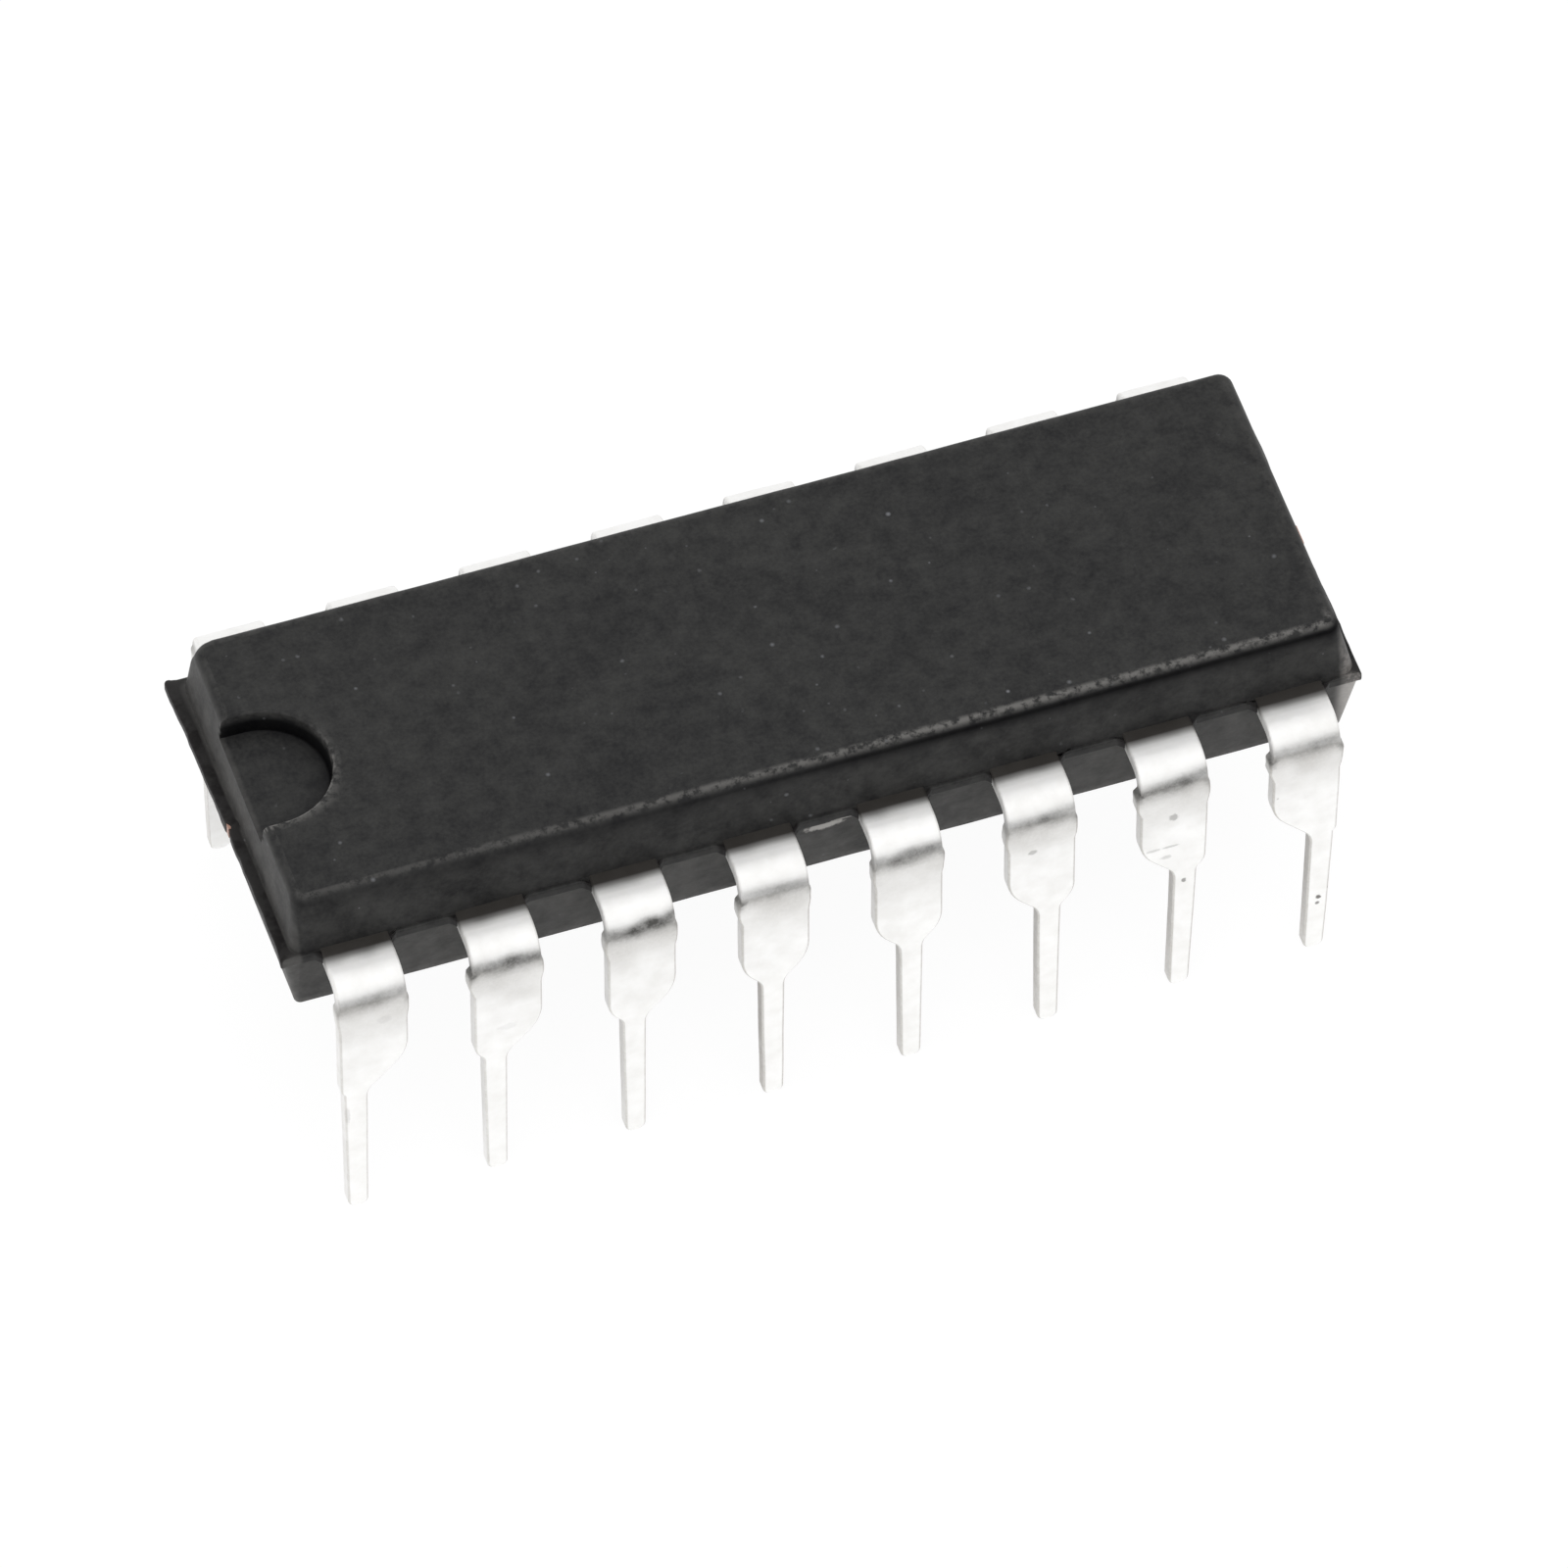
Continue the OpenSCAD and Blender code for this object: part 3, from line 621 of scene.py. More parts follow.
# By front lead, from the left: how much grey its cut edges and leg sides take, the leg sides being painted
# shade, how strong its painted dark reflection band is, how far its tip leans in millimetres, and how far its
# two stubs stand out as shares of the usual, which also sets the painted shade beside them
CUTS_AND_SHADE = {1: 0.0, 2: 0.0, 3: 0.20, 4: 0.75, 5: 0.45, 6: 0.55, 7: 0.55, 8: 0.6}
BANDS = {1: 0.75, 2: 1.15, 3: 1.3, 4: 0.85, 5: 1.05, 6: 0.9, 7: 1.05, 8: 0.88}
LEAN = {1: -0.02, 2: 0.0, 3: 0.0, 4: 0.0, 5: 0.0, 6: 0.0, 7: -0.10, 8: -0.13}
STUBS = {1: (0.6, 0.6), 2: (1.3, 0.7), 3: (0.8, 0.7), 4: (1.2, 0.6), 5: (0.6, 0.7), 6: (0.7, 0.8),
         7: (1.3, 0.8), 8: (1.2, 1.0)}
DENTED_LEAD, DENT, DENT_WIDTH = 7, 0.03 * MM, 0.13 * MM


def finger_plan(s, k, shoulder_x, root_y):
    """Middle line of a finger in plan, from the paddle's clearance to the root, and its half-width across.

    The inner fingers run straight to the paddle's long side. The outer ones run along a lane beside the tie
    bar and turn once, with a mitred corner.
    """
    lane = s.tie / 2 + s.gap + s.finger / 2
    if k < 2:
        share = 0.22 if k < 1 else 0.72
        stop = np.array([share * s.paddle_length / 2, s.paddle_width / 2])
        start = np.array([shoulder_x, root_y])
        cut = (s.paddle_width / 2 + s.gap - root_y) / (stop[1] - root_y)
        run = stop - start
        plan = start + run * np.linspace(cut, 0, 7)[:, None]
        across = np.tile([s.finger / 2 / abs(run[1]) * math.hypot(*run), 0.0], (7, 1))
    else:
        lane += (s.finger + s.gap) if k < 3 else 0
        turn = np.array([shoulder_x - (root_y - lane) / 2, lane])
        inner = np.stack([np.linspace(s.paddle_length / 2 + s.gap, turn[0], 6), np.full(6, lane)], -1)
        blend = np.linspace(0.15, 1, 6)[:, None]
        outer = turn + (np.array([shoulder_x, root_y]) - turn) * blend
        plan = np.concatenate([inner, outer])
        slope = math.atan2(root_y - lane, shoulder_x - turn[0])
        half = slope / 2
        bend_across = np.array([-math.sin(half), math.cos(half)]) * s.finger / 2 / math.cos(half)
        flat = np.array([-1.0, 0.0]) * s.finger / 2 / math.sin(slope)
        across = np.concatenate([np.tile([0.0, s.finger / 2], (5, 1)), [bend_across],
                                 bend_across * (1 - blend) + flat * blend]) * -1
    return plan, across


def lead_masks(points, body, number, section, mirror_x, wild, rng):
    """Where a lead is edge, carries its dark band, is hazy, is darkened at the root or is cut.

    The band is painted dark reflection that also stands for tin rubbed by the forming tool: a hump across the
    bend, steeper above than below, broken up by noise, with painted shade beside the dam bar's stubs. The
    haze fades downwards below it. The root is darkened as painted shade and dark reflection of the moulding,
    which also stands for bled resin, fading outwards from the root. The cut mask greys the stamped edges and,
    as painted shade, the sides of the legs.
    """
    u, side, edge = section
    edge = np.broadcast_to(edge, points.shape[:2])
    below = (points[..., 2] - body.parting) / MM
    outer = (abs(points[..., 1]) - body.half_width) / MM
    ragged, torn, patchy = (0.5 + 0.5 * noise(points, cell * MM, seed + number)
                            for cell, seed in ((0.3, 51), (0.11, 61), (0.45, 71)))
    # Painted dark reflection across the bend, also standing for tin rubbed by the forming tool
    from_band = below + 0.22 + 0.07 * ragged - rng.uniform(-0.02, 0.07) * mirror_x * u
    above = from_band > 0
    reach = abs(from_band) / np.where(above, 0.13, 0.22)
    rub_and_reflection = np.exp(-reach ** np.where(above, 2.5, 2.0)) * rise(outer, 0.5, 0.3)
    heart = 0.72 + 0.28 * hump(u * mirror_x, 0.25, 0.55)
    rub_and_reflection *= (0.70 + 0.30 * ragged) * BANDS.get(number, rng.uniform(0.7, 1.0)) * heart
    rub_and_reflection *= 0.72 + 0.40 * torn
    # Painted shade beside the dam bar's stubs
    stub_shade = hump(below, -0.42, 0.15) * hump(abs(u), 1.02, 0.13)
    own = np.where(u * mirror_x < 0, *np.asarray(wild)[::mirror_x])
    rub_and_reflection = np.maximum(rub_and_reflection, stub_shade * own * (0.3 + 0.6 * torn))
    front = (side > 0) * (outer > 0.5) * (below < -0.3)
    haze = (1 - rise(-below, 0.35, 0.9 + 0.7 * patchy)) * front * (0.35 + 0.65 * patchy)
    # Painted shade and dark reflection of the moulding over the root, also standing for bled resin
    bleed_and_shade = soft(1 - rise(outer - 0.13 + 0.05 * (ragged - 0.5), 0.0, 0.28)) * (side > 0)
    # Grey stamped edges, and painted shade down the sides of the legs below the blade
    shorn = CUTS_AND_SHADE.get(number, 0.3)
    flank = np.where(edge > 0.1, 0.12 + shorn * rise(-below, 2.6, 0.3), 0.0)
    cut = np.where(edge > 0.9, 0.38 + 0.4 * min(shorn, 0.55), flank) * rise(-below, 0.3, 0.15)
    return {"edge": edge, "rub_and_reflection": rub_and_reflection, "haze": haze, "bleed_and_shade": bleed_and_shade, "cut": cut}


def lead_mesh(s, body, number):
    """One lead: a stamped strip's section carried along its finger, root, shoulder, bend, blade and leg."""
    column = number - 1 if number <= PER_SIDE else 2 * PER_SIDE - number
    mirror_x = 1 if column > MIDDLE else -1
    mirror_y = -1 if number <= PER_SIDE else 1
    k = abs(column - MIDDLE)
    shoulder_x, leg_x = k * s.shoulder_pitch, k * s.leg_pitch
    root_y = body.half_width - s.root
    mid_radius = s.bend - s.thickness / 2
    bend_y = body.half_width + s.reach - s.bend
    rng = np.random.default_rng(100 + number)

    plan, across = finger_plan(s, k, shoulder_x, root_y)

    # Side view of the rest: root and shoulder, bend, then straight down
    level = np.linspace(root_y, bend_y, 16)[:-1]
    arc = np.linspace(0, math.pi / 2, 13)
    left, right = shoulder_x - s.shoulder / 2, shoulder_x + s.shoulder / 2
    leg = np.array([leg_x - s.leg / 2, leg_x + s.leg / 2])
    tip = np.array([leg_x - s.tip / 2, leg_x + s.tip / 2])
    slope = math.tan(s.blade_slope)
    foot = -body.parting
    edges = []
    for side, narrow, end in ((left, leg[0], tip[0]), (right, leg[1], tip[1])):
        gap = abs(narrow - side)
        radius = min(s.blade_round, 1.6 * gap / math.cos(s.blade_slope))
        edges.append(rounded_line([(side, 0), (side, -s.blade_drop + gap * slope), (narrow, -s.blade_drop),
                                   (end, foot), (leg_x, foot)], (radius, radius / 2, s.tip_round)))
    stub_top = -s.bend + s.thickness / 2
    stub_low = stub_top - s.stub_height
    step = 0.012 * MM
    falls = np.concatenate([np.linspace(-mid_radius, foot, 46), edges[0][1:-1, 1], edges[1][1:-1, 1],
                            stub_top - np.array([0, 1, 3, 5, 7]) * step, [stub_low, stub_low + step]])
    falls = np.unique(np.round(falls, 9))[::-1]
    falls = falls[(falls <= -mid_radius + 1e-9) & np.concatenate([[True], np.diff(falls) < -0.004 * MM])]
    if falls[-1] > foot + 1e-9:
        falls = np.append(falls, foot)
    sides = np.stack([np.interp(falls, edge[::-1, 1], edge[::-1, 0]) for edge in edges], -1)
    sides[-1] = [tip[0] + s.tip_round, tip[1] - s.tip_round]
    on_stub = rise(stub_top, falls, 0.09 * MM) * rise(falls, stub_low, 0.22 * MM)
    wild = STUBS.get(number, rng.uniform(0.5, 1.2, 2))
    if mirror_x < 0:
        wild = wild[::-1]
    rough = columns(*(noise(columns(falls, number * MM, 0.0), 0.12 * MM, seed) for seed in (31, 32)))
    sides += on_stub[:, None] * s.stub * np.array([-1, 1]) * np.asarray(wild) * (1 + 0.25 * rough)
    lean = LEAN.get(number, rng.uniform(-0.04, 0.04)) * mirror_x * MM
    drop = rise(-falls, 1.2 * MM, -foot - 1.2 * MM)
    sides += (lean * drop ** 1.3)[:, None]

    shoulder_sides = np.tile([left, right], (len(level) + len(arc), 1))
    sides = np.concatenate([shoulder_sides, sides])
    y = np.concatenate([level, bend_y + mid_radius * np.sin(arc), np.full(len(falls), bend_y + mid_radius)])
    z = np.concatenate([0 * level, mid_radius * (np.cos(arc) - 1), falls])
    tilt = np.concatenate([0 * level, arc, np.full(len(falls), math.pi / 2)])
    keep = np.concatenate([[True], (np.hypot(np.diff(y), np.diff(z)) > 1e-9)])
    sides, y, z, tilt = sides[keep], y[keep], z[keep], tilt[keep]

    centre = np.concatenate([columns(*plan.T, 0.0), columns(sides.mean(1), y, z)])
    half = np.concatenate([columns(*across.T, 0.0), columns(np.diff(sides)[:, 0] / 2, 0.0, 0.0)])
    tilt = np.concatenate([np.zeros(len(plan)), tilt])
    normal = columns(0.0, np.sin(tilt), np.cos(tilt))
    height = centre[:, 2] - foot
    thick = s.thickness * (0.72 + 0.28 * rise(height, 0.0, 0.14 * MM) ** 0.5)

    table = section_table(s)
    width = np.linalg.norm(half, axis=1)
    hat = half / width[:, None]
    u, side, cu, cn, radius, edge = (table[:, i] for i in range(6))
    reach = u * (width[:, None] - radius) + radius * cu
    through = side * (thick[:, None] / 2 - radius) + radius * cn
    points = centre[:, None] + hat[:, None] * reach[..., None] + normal[:, None] * through[..., None]
    own = points + number * 3 * MM
    ripple = noise(own, 0.5 * MM, 41) * 0.7 + noise(own, 0.16 * MM, 42) * 0.3
    broad = noise(own, 0.95 * MM, 43)
    points += normal[:, None] * ((ripple * 0.005 + broad * 0.014) * MM)[..., None]
    if number == DENTED_LEAD:
        spot = np.array([shoulder_x - 0.02 * MM, bend_y + mid_radius, -1.75 * MM])
        away = np.linalg.norm((points - spot) / DENT_WIDTH, axis=-1)
        points -= normal[:, None] * (DENT * np.exp(-away ** 2))[..., None]
    caps = [np.broadcast_to(row.mean(0), row.shape)[None] for row in (points[0], points[-1])]
    points = np.concatenate([caps[0], points, caps[1]])
    points = points * np.array([mirror_x, mirror_y, 1]) + np.array([0, 0, body.parting])
    masks = lead_masks(points, body, number, (u, side, edge), mirror_x, wild, rng)
    mesh = welded(f"lead_{number:02d}_skin", [(points, True, masks.values())], masks)
    mesh.set_sharp_from_angle(angle=math.radians(50))
    return mesh


# Materials

def node(tree, kind, inputs=None, **settings):
    """A shader node with its settings made and its inputs set or linked."""
    made = tree.nodes.new(kind)
    for name, value in settings.items():
        setattr(made, name, value)
    for name, value in (inputs or {}).items():
        socket, value = made.inputs[name], getattr(value, "socket", value)
        if isinstance(value, bpy.types.NodeSocket):
            tree.links.new(value, socket)
        else:
            socket.default_value = (*value, 1.0) if socket.type == "RGBA" else value
    return made


def feed(made, name, value):
    """Link a number, a colour or a shader to one of a node's inputs."""
    made.id_data.links.new(getattr(value, "socket", value), made.inputs[name])


def arithmetic(operation, swapped=False):
    """A method of Value that adds one step of arithmetic to its tree."""
    def step(self, other=0.0):
        first, second = (other, self) if swapped else (self, other)
        return Value(node(self.socket.id_data, "ShaderNodeMath", {0: first, 1: second}, operation=operation))
    return step


class Value:
    """A number worked out in a shader tree; plain arithmetic on it adds the nodes for the next one."""

    def __init__(self, made, output=0):
        self.socket = made.outputs[output]

    __add__ = __radd__ = arithmetic("ADD")
    __mul__ = __rmul__ = arithmetic("MULTIPLY")
    __sub__, __rsub__ = arithmetic("SUBTRACT"), arithmetic("SUBTRACT", True)
    __truediv__, __rtruediv__ = arithmetic("DIVIDE"), arithmetic("DIVIDE", True)
    __pow__, __lt__, __abs__ = arithmetic("POWER"), arithmetic("LESS_THAN"), arithmetic("ABSOLUTE")
    most, root = arithmetic("MAXIMUM"), arithmetic("SQRT")

    def held(self):
        """The same number, held between 0 and 1."""
        self.socket.node.use_clamp = True
        return self

    def ramp(self, low, high, out_low=0.0, out_high=1.0):
        """The number carried smoothly from one range to another and held within it."""
        ranges = {"Value": self, "From Min": low, "From Max": high, "To Min": out_low, "To Max": out_high}
        return Value(node(self.socket.id_data, "ShaderNodeMapRange", ranges, interpolation_type="SMOOTHSTEP"))


def attribute(tree, name):
    """One of the masks that the mesh carries."""
    return Value(node(tree, "ShaderNodeAttribute", attribute_name=name), "Fac")


def object_place(tree):
    """The place of the shaded point on its piece."""
    return node(tree, "ShaderNodeTexCoord").outputs["Object"]


def axes(tree, place):
    """A place's x, y and z."""
    parts = node(tree, "ShaderNodeSeparateXYZ", {0: place})
    return [Value(parts, axis) for axis in "XYZ"]


def rough_noise(tree, place, scale, detail, roughness):
    """Layered noise about one half."""
    return Value(node(tree, "ShaderNodeTexNoise", {"Vector": place, "Scale": scale, "Detail": detail,
                                                   "Roughness": roughness}), "Fac")


def mix_colour(tree, share, first, second):
    """Two colours mixed by a share."""
    return node(tree, "ShaderNodeMix", {0: share, 6: first, 7: second}, data_type="RGBA").outputs[2]


def bump(tree, height, strength, distance):
    """A normal tilted by a height, whose distance is in millimetres."""
    return node(tree, "ShaderNodeBump", {"Height": height, "Strength": strength,
                                         "Distance": distance * MM}).outputs[0]


def new_group(name, inputs, *outputs):
    """An empty shader group of numbers: its tree, its inputs by name and its output node."""
    tree = bpy.data.node_groups.new(name, "ShaderNodeTree")
    for label, default in inputs.items():
        socket = tree.interface.new_socket(name=label, in_out="INPUT", socket_type="NodeSocketFloat")
        socket.default_value = default
    for label in outputs:
        tree.interface.new_socket(name=label, in_out="OUTPUT", socket_type="NodeSocketFloat")
    into = node(tree, "NodeGroupInput")
    return tree, {label: Value(into, label) for label in inputs}, node(tree, "NodeGroupOutput")


def placed(tree, name, build, **values):
    """A group, built the first time, in a material; spaces in input names are written as underscores."""
    group = bpy.data.node_groups.get(name) or build()
    return node(tree, "ShaderNodeGroup", {k.replace("_", " "): v for k, v in values.items()}, node_tree=group)


def grain_group():
    """Filler grain at two sizes, as a value about one half and as a height."""
    tree, given, out = new_group("Filler grain", {"Size mm": 0.05, "Contrast": 1.0}, "Value", "Height")
    place, scale = object_place(tree), 1000.0 / given["Size mm"]
    height = (rough_noise(tree, place, scale, 3.0, 0.6) * 0.65
              + rough_noise(tree, place, scale * 0.23, 2.0, 0.5) * 0.35)
    feed(out, "Value", ((height - 0.5) * given["Contrast"] + 0.5).held())
    feed(out, "Height", height)
    return tree


def grain(tree, size, contrast):
    """The grain group's value and height."""
    made = placed(tree, "Filler grain", grain_group, Size_mm=size, Contrast=contrast)
    return Value(made, "Value"), Value(made, "Height")


def dust_group():
    """Scattered pale specks: the hearts of a share of the cells of a cell pattern."""
    tree, given, out = new_group("Dust", {"Size mm": 0.2, "Share": 0.3, "Heart": 0.25}, "Mask")
    place, scale = object_place(tree), 1000.0 / given["Size mm"]
    cells = node(tree, "ShaderNodeTexVoronoi", {"Vector": place, "Scale": scale, "Randomness": 1.0})
    chance = node(tree, "ShaderNodeSeparateColor", {"Color": cells.outputs["Color"]})
    chosen = Value(chance, "Red") < given["Share"]
    size = given["Heart"] * (Value(chance, "Green") * 0.8 + 0.2)
    feed(out, "Mask", (1.0 - Value(cells, "Distance") / size).held() * chosen)
    return tree


def dust(tree, size, share, heart):
    """The dust group's mask."""
    return Value(placed(tree, "Dust", dust_group, Size_mm=size, Share=share, Heart=heart), "Mask")


def wear_and_highlight_group():
    """Scuffed edges, and on the moulding a painted highlight: the edge attribute broken up by noise."""
    tree, given, out = new_group("Edge wear", {"Size mm": 0.1, "Amount": 1.0}, "Mask")
    patch = rough_noise(tree, object_place(tree), 1000.0 / given["Size mm"], 4.0, 0.65)
    feed(out, "Mask", (attribute(tree, "edge") * patch.ramp(0.37, 0.58) * given["Amount"]).held())
    return tree


def wear_and_highlight(tree, size, amount):
    """The edge wear group's mask."""
    return Value(placed(tree, "Edge wear", wear_and_highlight_group, Size_mm=size, Amount=amount), "Mask")


SPOT_DEPTH = 0.14


def spot_group():
    """One ragged oval mark on a flat side: the distance from its centre over its half-sizes, with noise."""
    sizes = {"X mm": 0.0, "Y mm": 0.0, "Z mm": 0.0, "Wide mm": 0.1, "High mm": 0.1}
    tree, given, out = new_group("Spot", sizes, "Mask")
    place = object_place(tree)
    x, y, z = (abs((part * 1000.0 - given[f"{axis} mm"]) / half) ** 2.0 for part, axis, half in zip(
        axes(tree, place), "XYZ", (given["Wide mm"], SPOT_DEPTH, given["High mm"])))
    edge = rough_noise(tree, place, 14000.0, 2.0, 0.5) * 0.9 + ((x + y + z).root() - 0.45)
    feed(out, "Mask", edge.ramp(0.55, 1.1, 1.0, 0.0))
    return tree


def spots(tree, marks):
    """The strongest of several marks, each (x, y, z, half width, half height, strength) in millimetres."""
    masks = [Value(placed(tree, "Spot", spot_group, X_mm=x, Y_mm=y, Z_mm=z, Wide_mm=wide, High_mm=high),
                   "Mask") * strength for x, y, z, wide, high, strength in marks]
    total = masks[0]
    for mask in masks[1:]:
        total = total.most(mask)
    return total


TIN_MARKS = ((-9.060, -4.22, 2.75, 0.05, 0.28, 0.18), (-8.353, -4.22, 5.27, 0.16, 0.12, 0.10),
             (-6.126, -4.22, 4.11, 0.20, 0.10, 0.09), (3.49, -4.22, 5.04, 0.10, 0.07, 0.42),
             (5.72, -4.22, 4.14, 0.14, 0.05, 0.28), (5.95, -4.22, 3.86, 0.11, 0.06, 0.28),
             (6.03, -4.22, 4.14, 0.18, 0.035, 0.35), (6.299, -4.22, 3.05, 0.05, 0.07, 0.7),
             (6.089, -4.22, 4.966, 0.10, 0.10, 0.45), (8.823, -4.22, 1.486, 0.06, 0.06, 0.9),
             (8.808, -4.22, 1.32, 0.05, 0.05, 0.8), (9.038, -4.22, 1.682, 0.05, 0.05, 0.8))
SCRAPS = ((0.02, -3.13, 5.92, 0.40, 0.13, 0.55), (0.30, -3.2, 6.09, 0.26, 0.035, 0.40))


def blank_material(name):
    """A material with an empty tree."""
    made = bpy.data.materials.new(name)
    made.use_nodes = True
    made.node_tree.nodes.clear()
    return made, made.node_tree


def new_material(name):
    """A material with its Principled shader and its output."""
    made, tree = blank_material(name)
    shader = node(tree, "ShaderNodeBsdfPrincipled")
    feed(node(tree, "ShaderNodeOutputMaterial"), "Surface", shader.outputs[0])
    return made, tree, shader


def moulding_material(s):
    """Matt black epoxy: filler grain, clouds, pale dust, a soft painted highlight along the top edge over a
    painted dark line, bled resin.

    The lower half, the ends and the long walls are made paler as painted light, the right front corner has
    two painted highlights, and one scrap of thin resin lies on the lower half.
    """
    made, tree, shader = new_material("Moulded epoxy")
    fine, height = grain(tree, size=0.08, contrast=3.4)
    cloud, _ = grain(tree, size=0.36, contrast=3.6)
    flash, shade = attribute(tree, "flash"), attribute(tree, "shade")
    x, y, z = axes(tree, object_place(tree))
    end, side, clean = s.half_length, s.half_width, (1.0 - flash).held()

    # Painted light: the lower half, the ends (most near the flange) and the long walls are lifted towards a
    # paler colour
    low = z.ramp(s.parting - 0.05 * MM, s.parting - 0.20 * MM)
    ends = abs(x).ramp(end - 0.42 * MM, end - 0.33 * MM) * z.ramp(
        s.parting + 0.1 * MM, s.parting + 1.1 * MM, 1.45, 0.75)
    painted_wall_light = abs(y).ramp(side - 0.30 * MM, side - 0.22 * MM) * 0.22
    specks = (dust(tree, size=0.24, share=0.45, heart=0.24) * cloud.ramp(0.45, 0.75) * 0.6).most(
        dust(tree, size=0.70, share=0.22, heart=0.12))
    # Painted highlights on the right front corner, above the flange and below it, kept off the flange
    corner = x.ramp(end - 0.42 * MM, end - 0.20 * MM) * y.ramp(0.4 * MM - side, 0.15 * MM - side) * clean
    foot = low * y.ramp(0.42 * MM - side, 0.12 * MM - side) * clean
    foot = foot * x.ramp(end - 0.50 * MM, end - 0.22 * MM, 0.0, 0.5)

    look = mix_colour(tree, fine * 0.5 + cloud * 0.5, s.dark, s.pale)
    for share, tint in ((low.most(ends.most(painted_wall_light)) * (cloud * 0.5 + 0.3), s.painted_light),
                        (shade * 0.75, s.shadow),
                        # A painted highlight, broken into specks, along the top edges and the notch's rim,
                        # and scuffing of the bottom edge
                        (wear_and_highlight(tree, size=0.17, amount=1.0), s.highlit_and_worn),
                        (specks, s.dust),
                        (flash * cloud.ramp(0.25, 0.75, 0.75, 1.0), s.bleed),
                        (corner * fine.ramp(0.2, 0.7, 0.25, 0.8), s.corner_highlight),
                        (foot, s.foot_highlight),
                        (spots(tree, SCRAPS), s.scrap)):
        look = mix_colour(tree, share, look, tint)
    feed(shader, "Base Color", look)
    feed(shader, "Roughness", fine * 0.14 + 0.44 + shade * 0.3)
    # Where the painted shade is deepest the resin turns metallic over its near-black colour, which takes its
    # sheen away too
    feed(shader, "Metallic", shade.ramp(0.5, 1.0) * 0.8)
    feed(shader, "Normal", bump(tree, height, 0.5, 0.012))
    shader.inputs["Specular IOR Level"].default_value = 0.2
    return made


def tin_material(s):
    """Satin tin over copper: clouds, a painted dark reflection band on the bend that also stands for tool
    rubbing, a haze below it, grey cut edges with painted shade down the legs' sides, and painted shade at the
    root.
    """
    made, tree, shader = new_material("Tin plating")
    cloud, hills = grain(tree, size=0.32, contrast=3.6)
    fine, pores = grain(tree, size=0.05, contrast=2.0)
    bleed_and_shade, broken = attribute(tree, "bleed_and_shade"), fine * 0.5 + 0.75
    look = mix_colour(tree, cloud * 0.35, s.bright, s.dull)
    look = mix_colour(tree, wear_and_highlight(tree, size=0.2, amount=0.4), look, s.dull)
    # Haze below the bend; grey cut edges and painted shade down the legs' sides; painted dark reflection band
    # on the bend
    for name, tint in (("haze", s.haze), ("cut", s.cut), ("rub_and_reflection", s.rub_and_reflection)):
        look = mix_colour(tree, (attribute(tree, name) * broken).held(), look, tint)
    # Painted shade and dark reflection at the root, also standing for bled resin; there the tin loses its
    # metal too
    look = mix_colour(tree, bleed_and_shade, look, s.bleed_and_shade)
    pits = dust(tree, size=0.8, share=0.10, heart=0.06) * 0.7
    feed(shader, "Base Color", mix_colour(tree, pits.most(spots(tree, TIN_MARKS)), look, s.pit))
    feed(shader, "Metallic", (bleed_and_shade * -0.30 + 0.30).held())
    feed(shader, "Roughness", cloud * 0.20 + 0.30)
    feed(shader, "Normal", bump(tree, hills + pores * 0.12, 0.6, 0.02))
    return made


def plain_material(name, base, metallic, roughness, size):
    """A finish with a little grain in its colour, roughness and surface."""
    made, tree, shader = new_material(name)
    fine, height = grain(tree, size=size, contrast=2.0)
    feed(shader, "Base Color", mix_colour(tree, fine, [0.7 * channel for channel in base], base))
    feed(shader, "Roughness", fine * 0.15 + roughness)
    feed(shader, "Normal", bump(tree, height, 0.4, 0.1 * size))
    shader.inputs["Metallic"].default_value = metallic
    return made


def dress(node_name, material):
    """Give a carried-over solid its material."""
    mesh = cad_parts[node_name].data
    mesh.materials.clear()
    mesh.materials.append(material)


# Operators

class PACKAGE_OT_moulding(bpy.types.Operator):
    """Build the black moulding with its notch, flange and resin beads"""
    bl_idname = "package.moulding"
    bl_label = "Moulding"

    def execute(self, context):
        s, leads = context.scene.moulding, context.scene.leads
        piece("moulding", moulding_mesh(s, leads), moulding_material(s), "moulding", "moulded_body")
        return {"FINISHED"}


class PACKAGE_OT_leads(bpy.types.Operator):
    """Build the sixteen bent and tinned leads"""
    bl_idname = "package.leads"
    bl_label = "Leads"

    def execute(self, context):
        scene = context.scene
        tin = tin_material(scene.leads)
        for number, name in enumerate(LEADS, 1):
            piece(f"{name}_skin", lead_mesh(scene.leads, scene.moulding, number), tin, "tinned_leads", name)
        return {"FINISHED"}


class PACKAGE_OT_core(bpy.types.Operator):
    """Finish the paddle, die, epoxy layer and bond wires inside the moulding"""
    bl_idname = "package.core"
    bl_label = "Core"

    def execute(self, context):
        core, leads = context.scene.core, context.scene.leads
        dress("die_pad", plain_material("Bare copper", leads.copper, 1.0, 0.30, 0.05))
        dress("die_attach", plain_material("Silver epoxy", core.silver, 0.4, 0.5, 0.02))
        dress("silicon_die", plain_material("Silicon", core.silicon, 0.3, 0.15, 0.04))
        gold = plain_material("Gold wire", core.gold, 1.0, 0.22, 0.02)
        for name in WIRES:
            dress(name, gold)
        return {"FINISHED"}


class PACKAGE_OT_stage(bpy.types.Operator):
    """Set the camera, the pale floor and the soft light"""
    bl_idname = "package.stage"
    bl_label = "Stage"

    def execute(self, context):
        s, scene = context.scene.stage, context.scene
        scene.view_settings.view_transform = "Standard"
        for add in (add_camera, add_floor, add_world, add_lamps):
            add(s, scene)
        return {"FINISHED"}


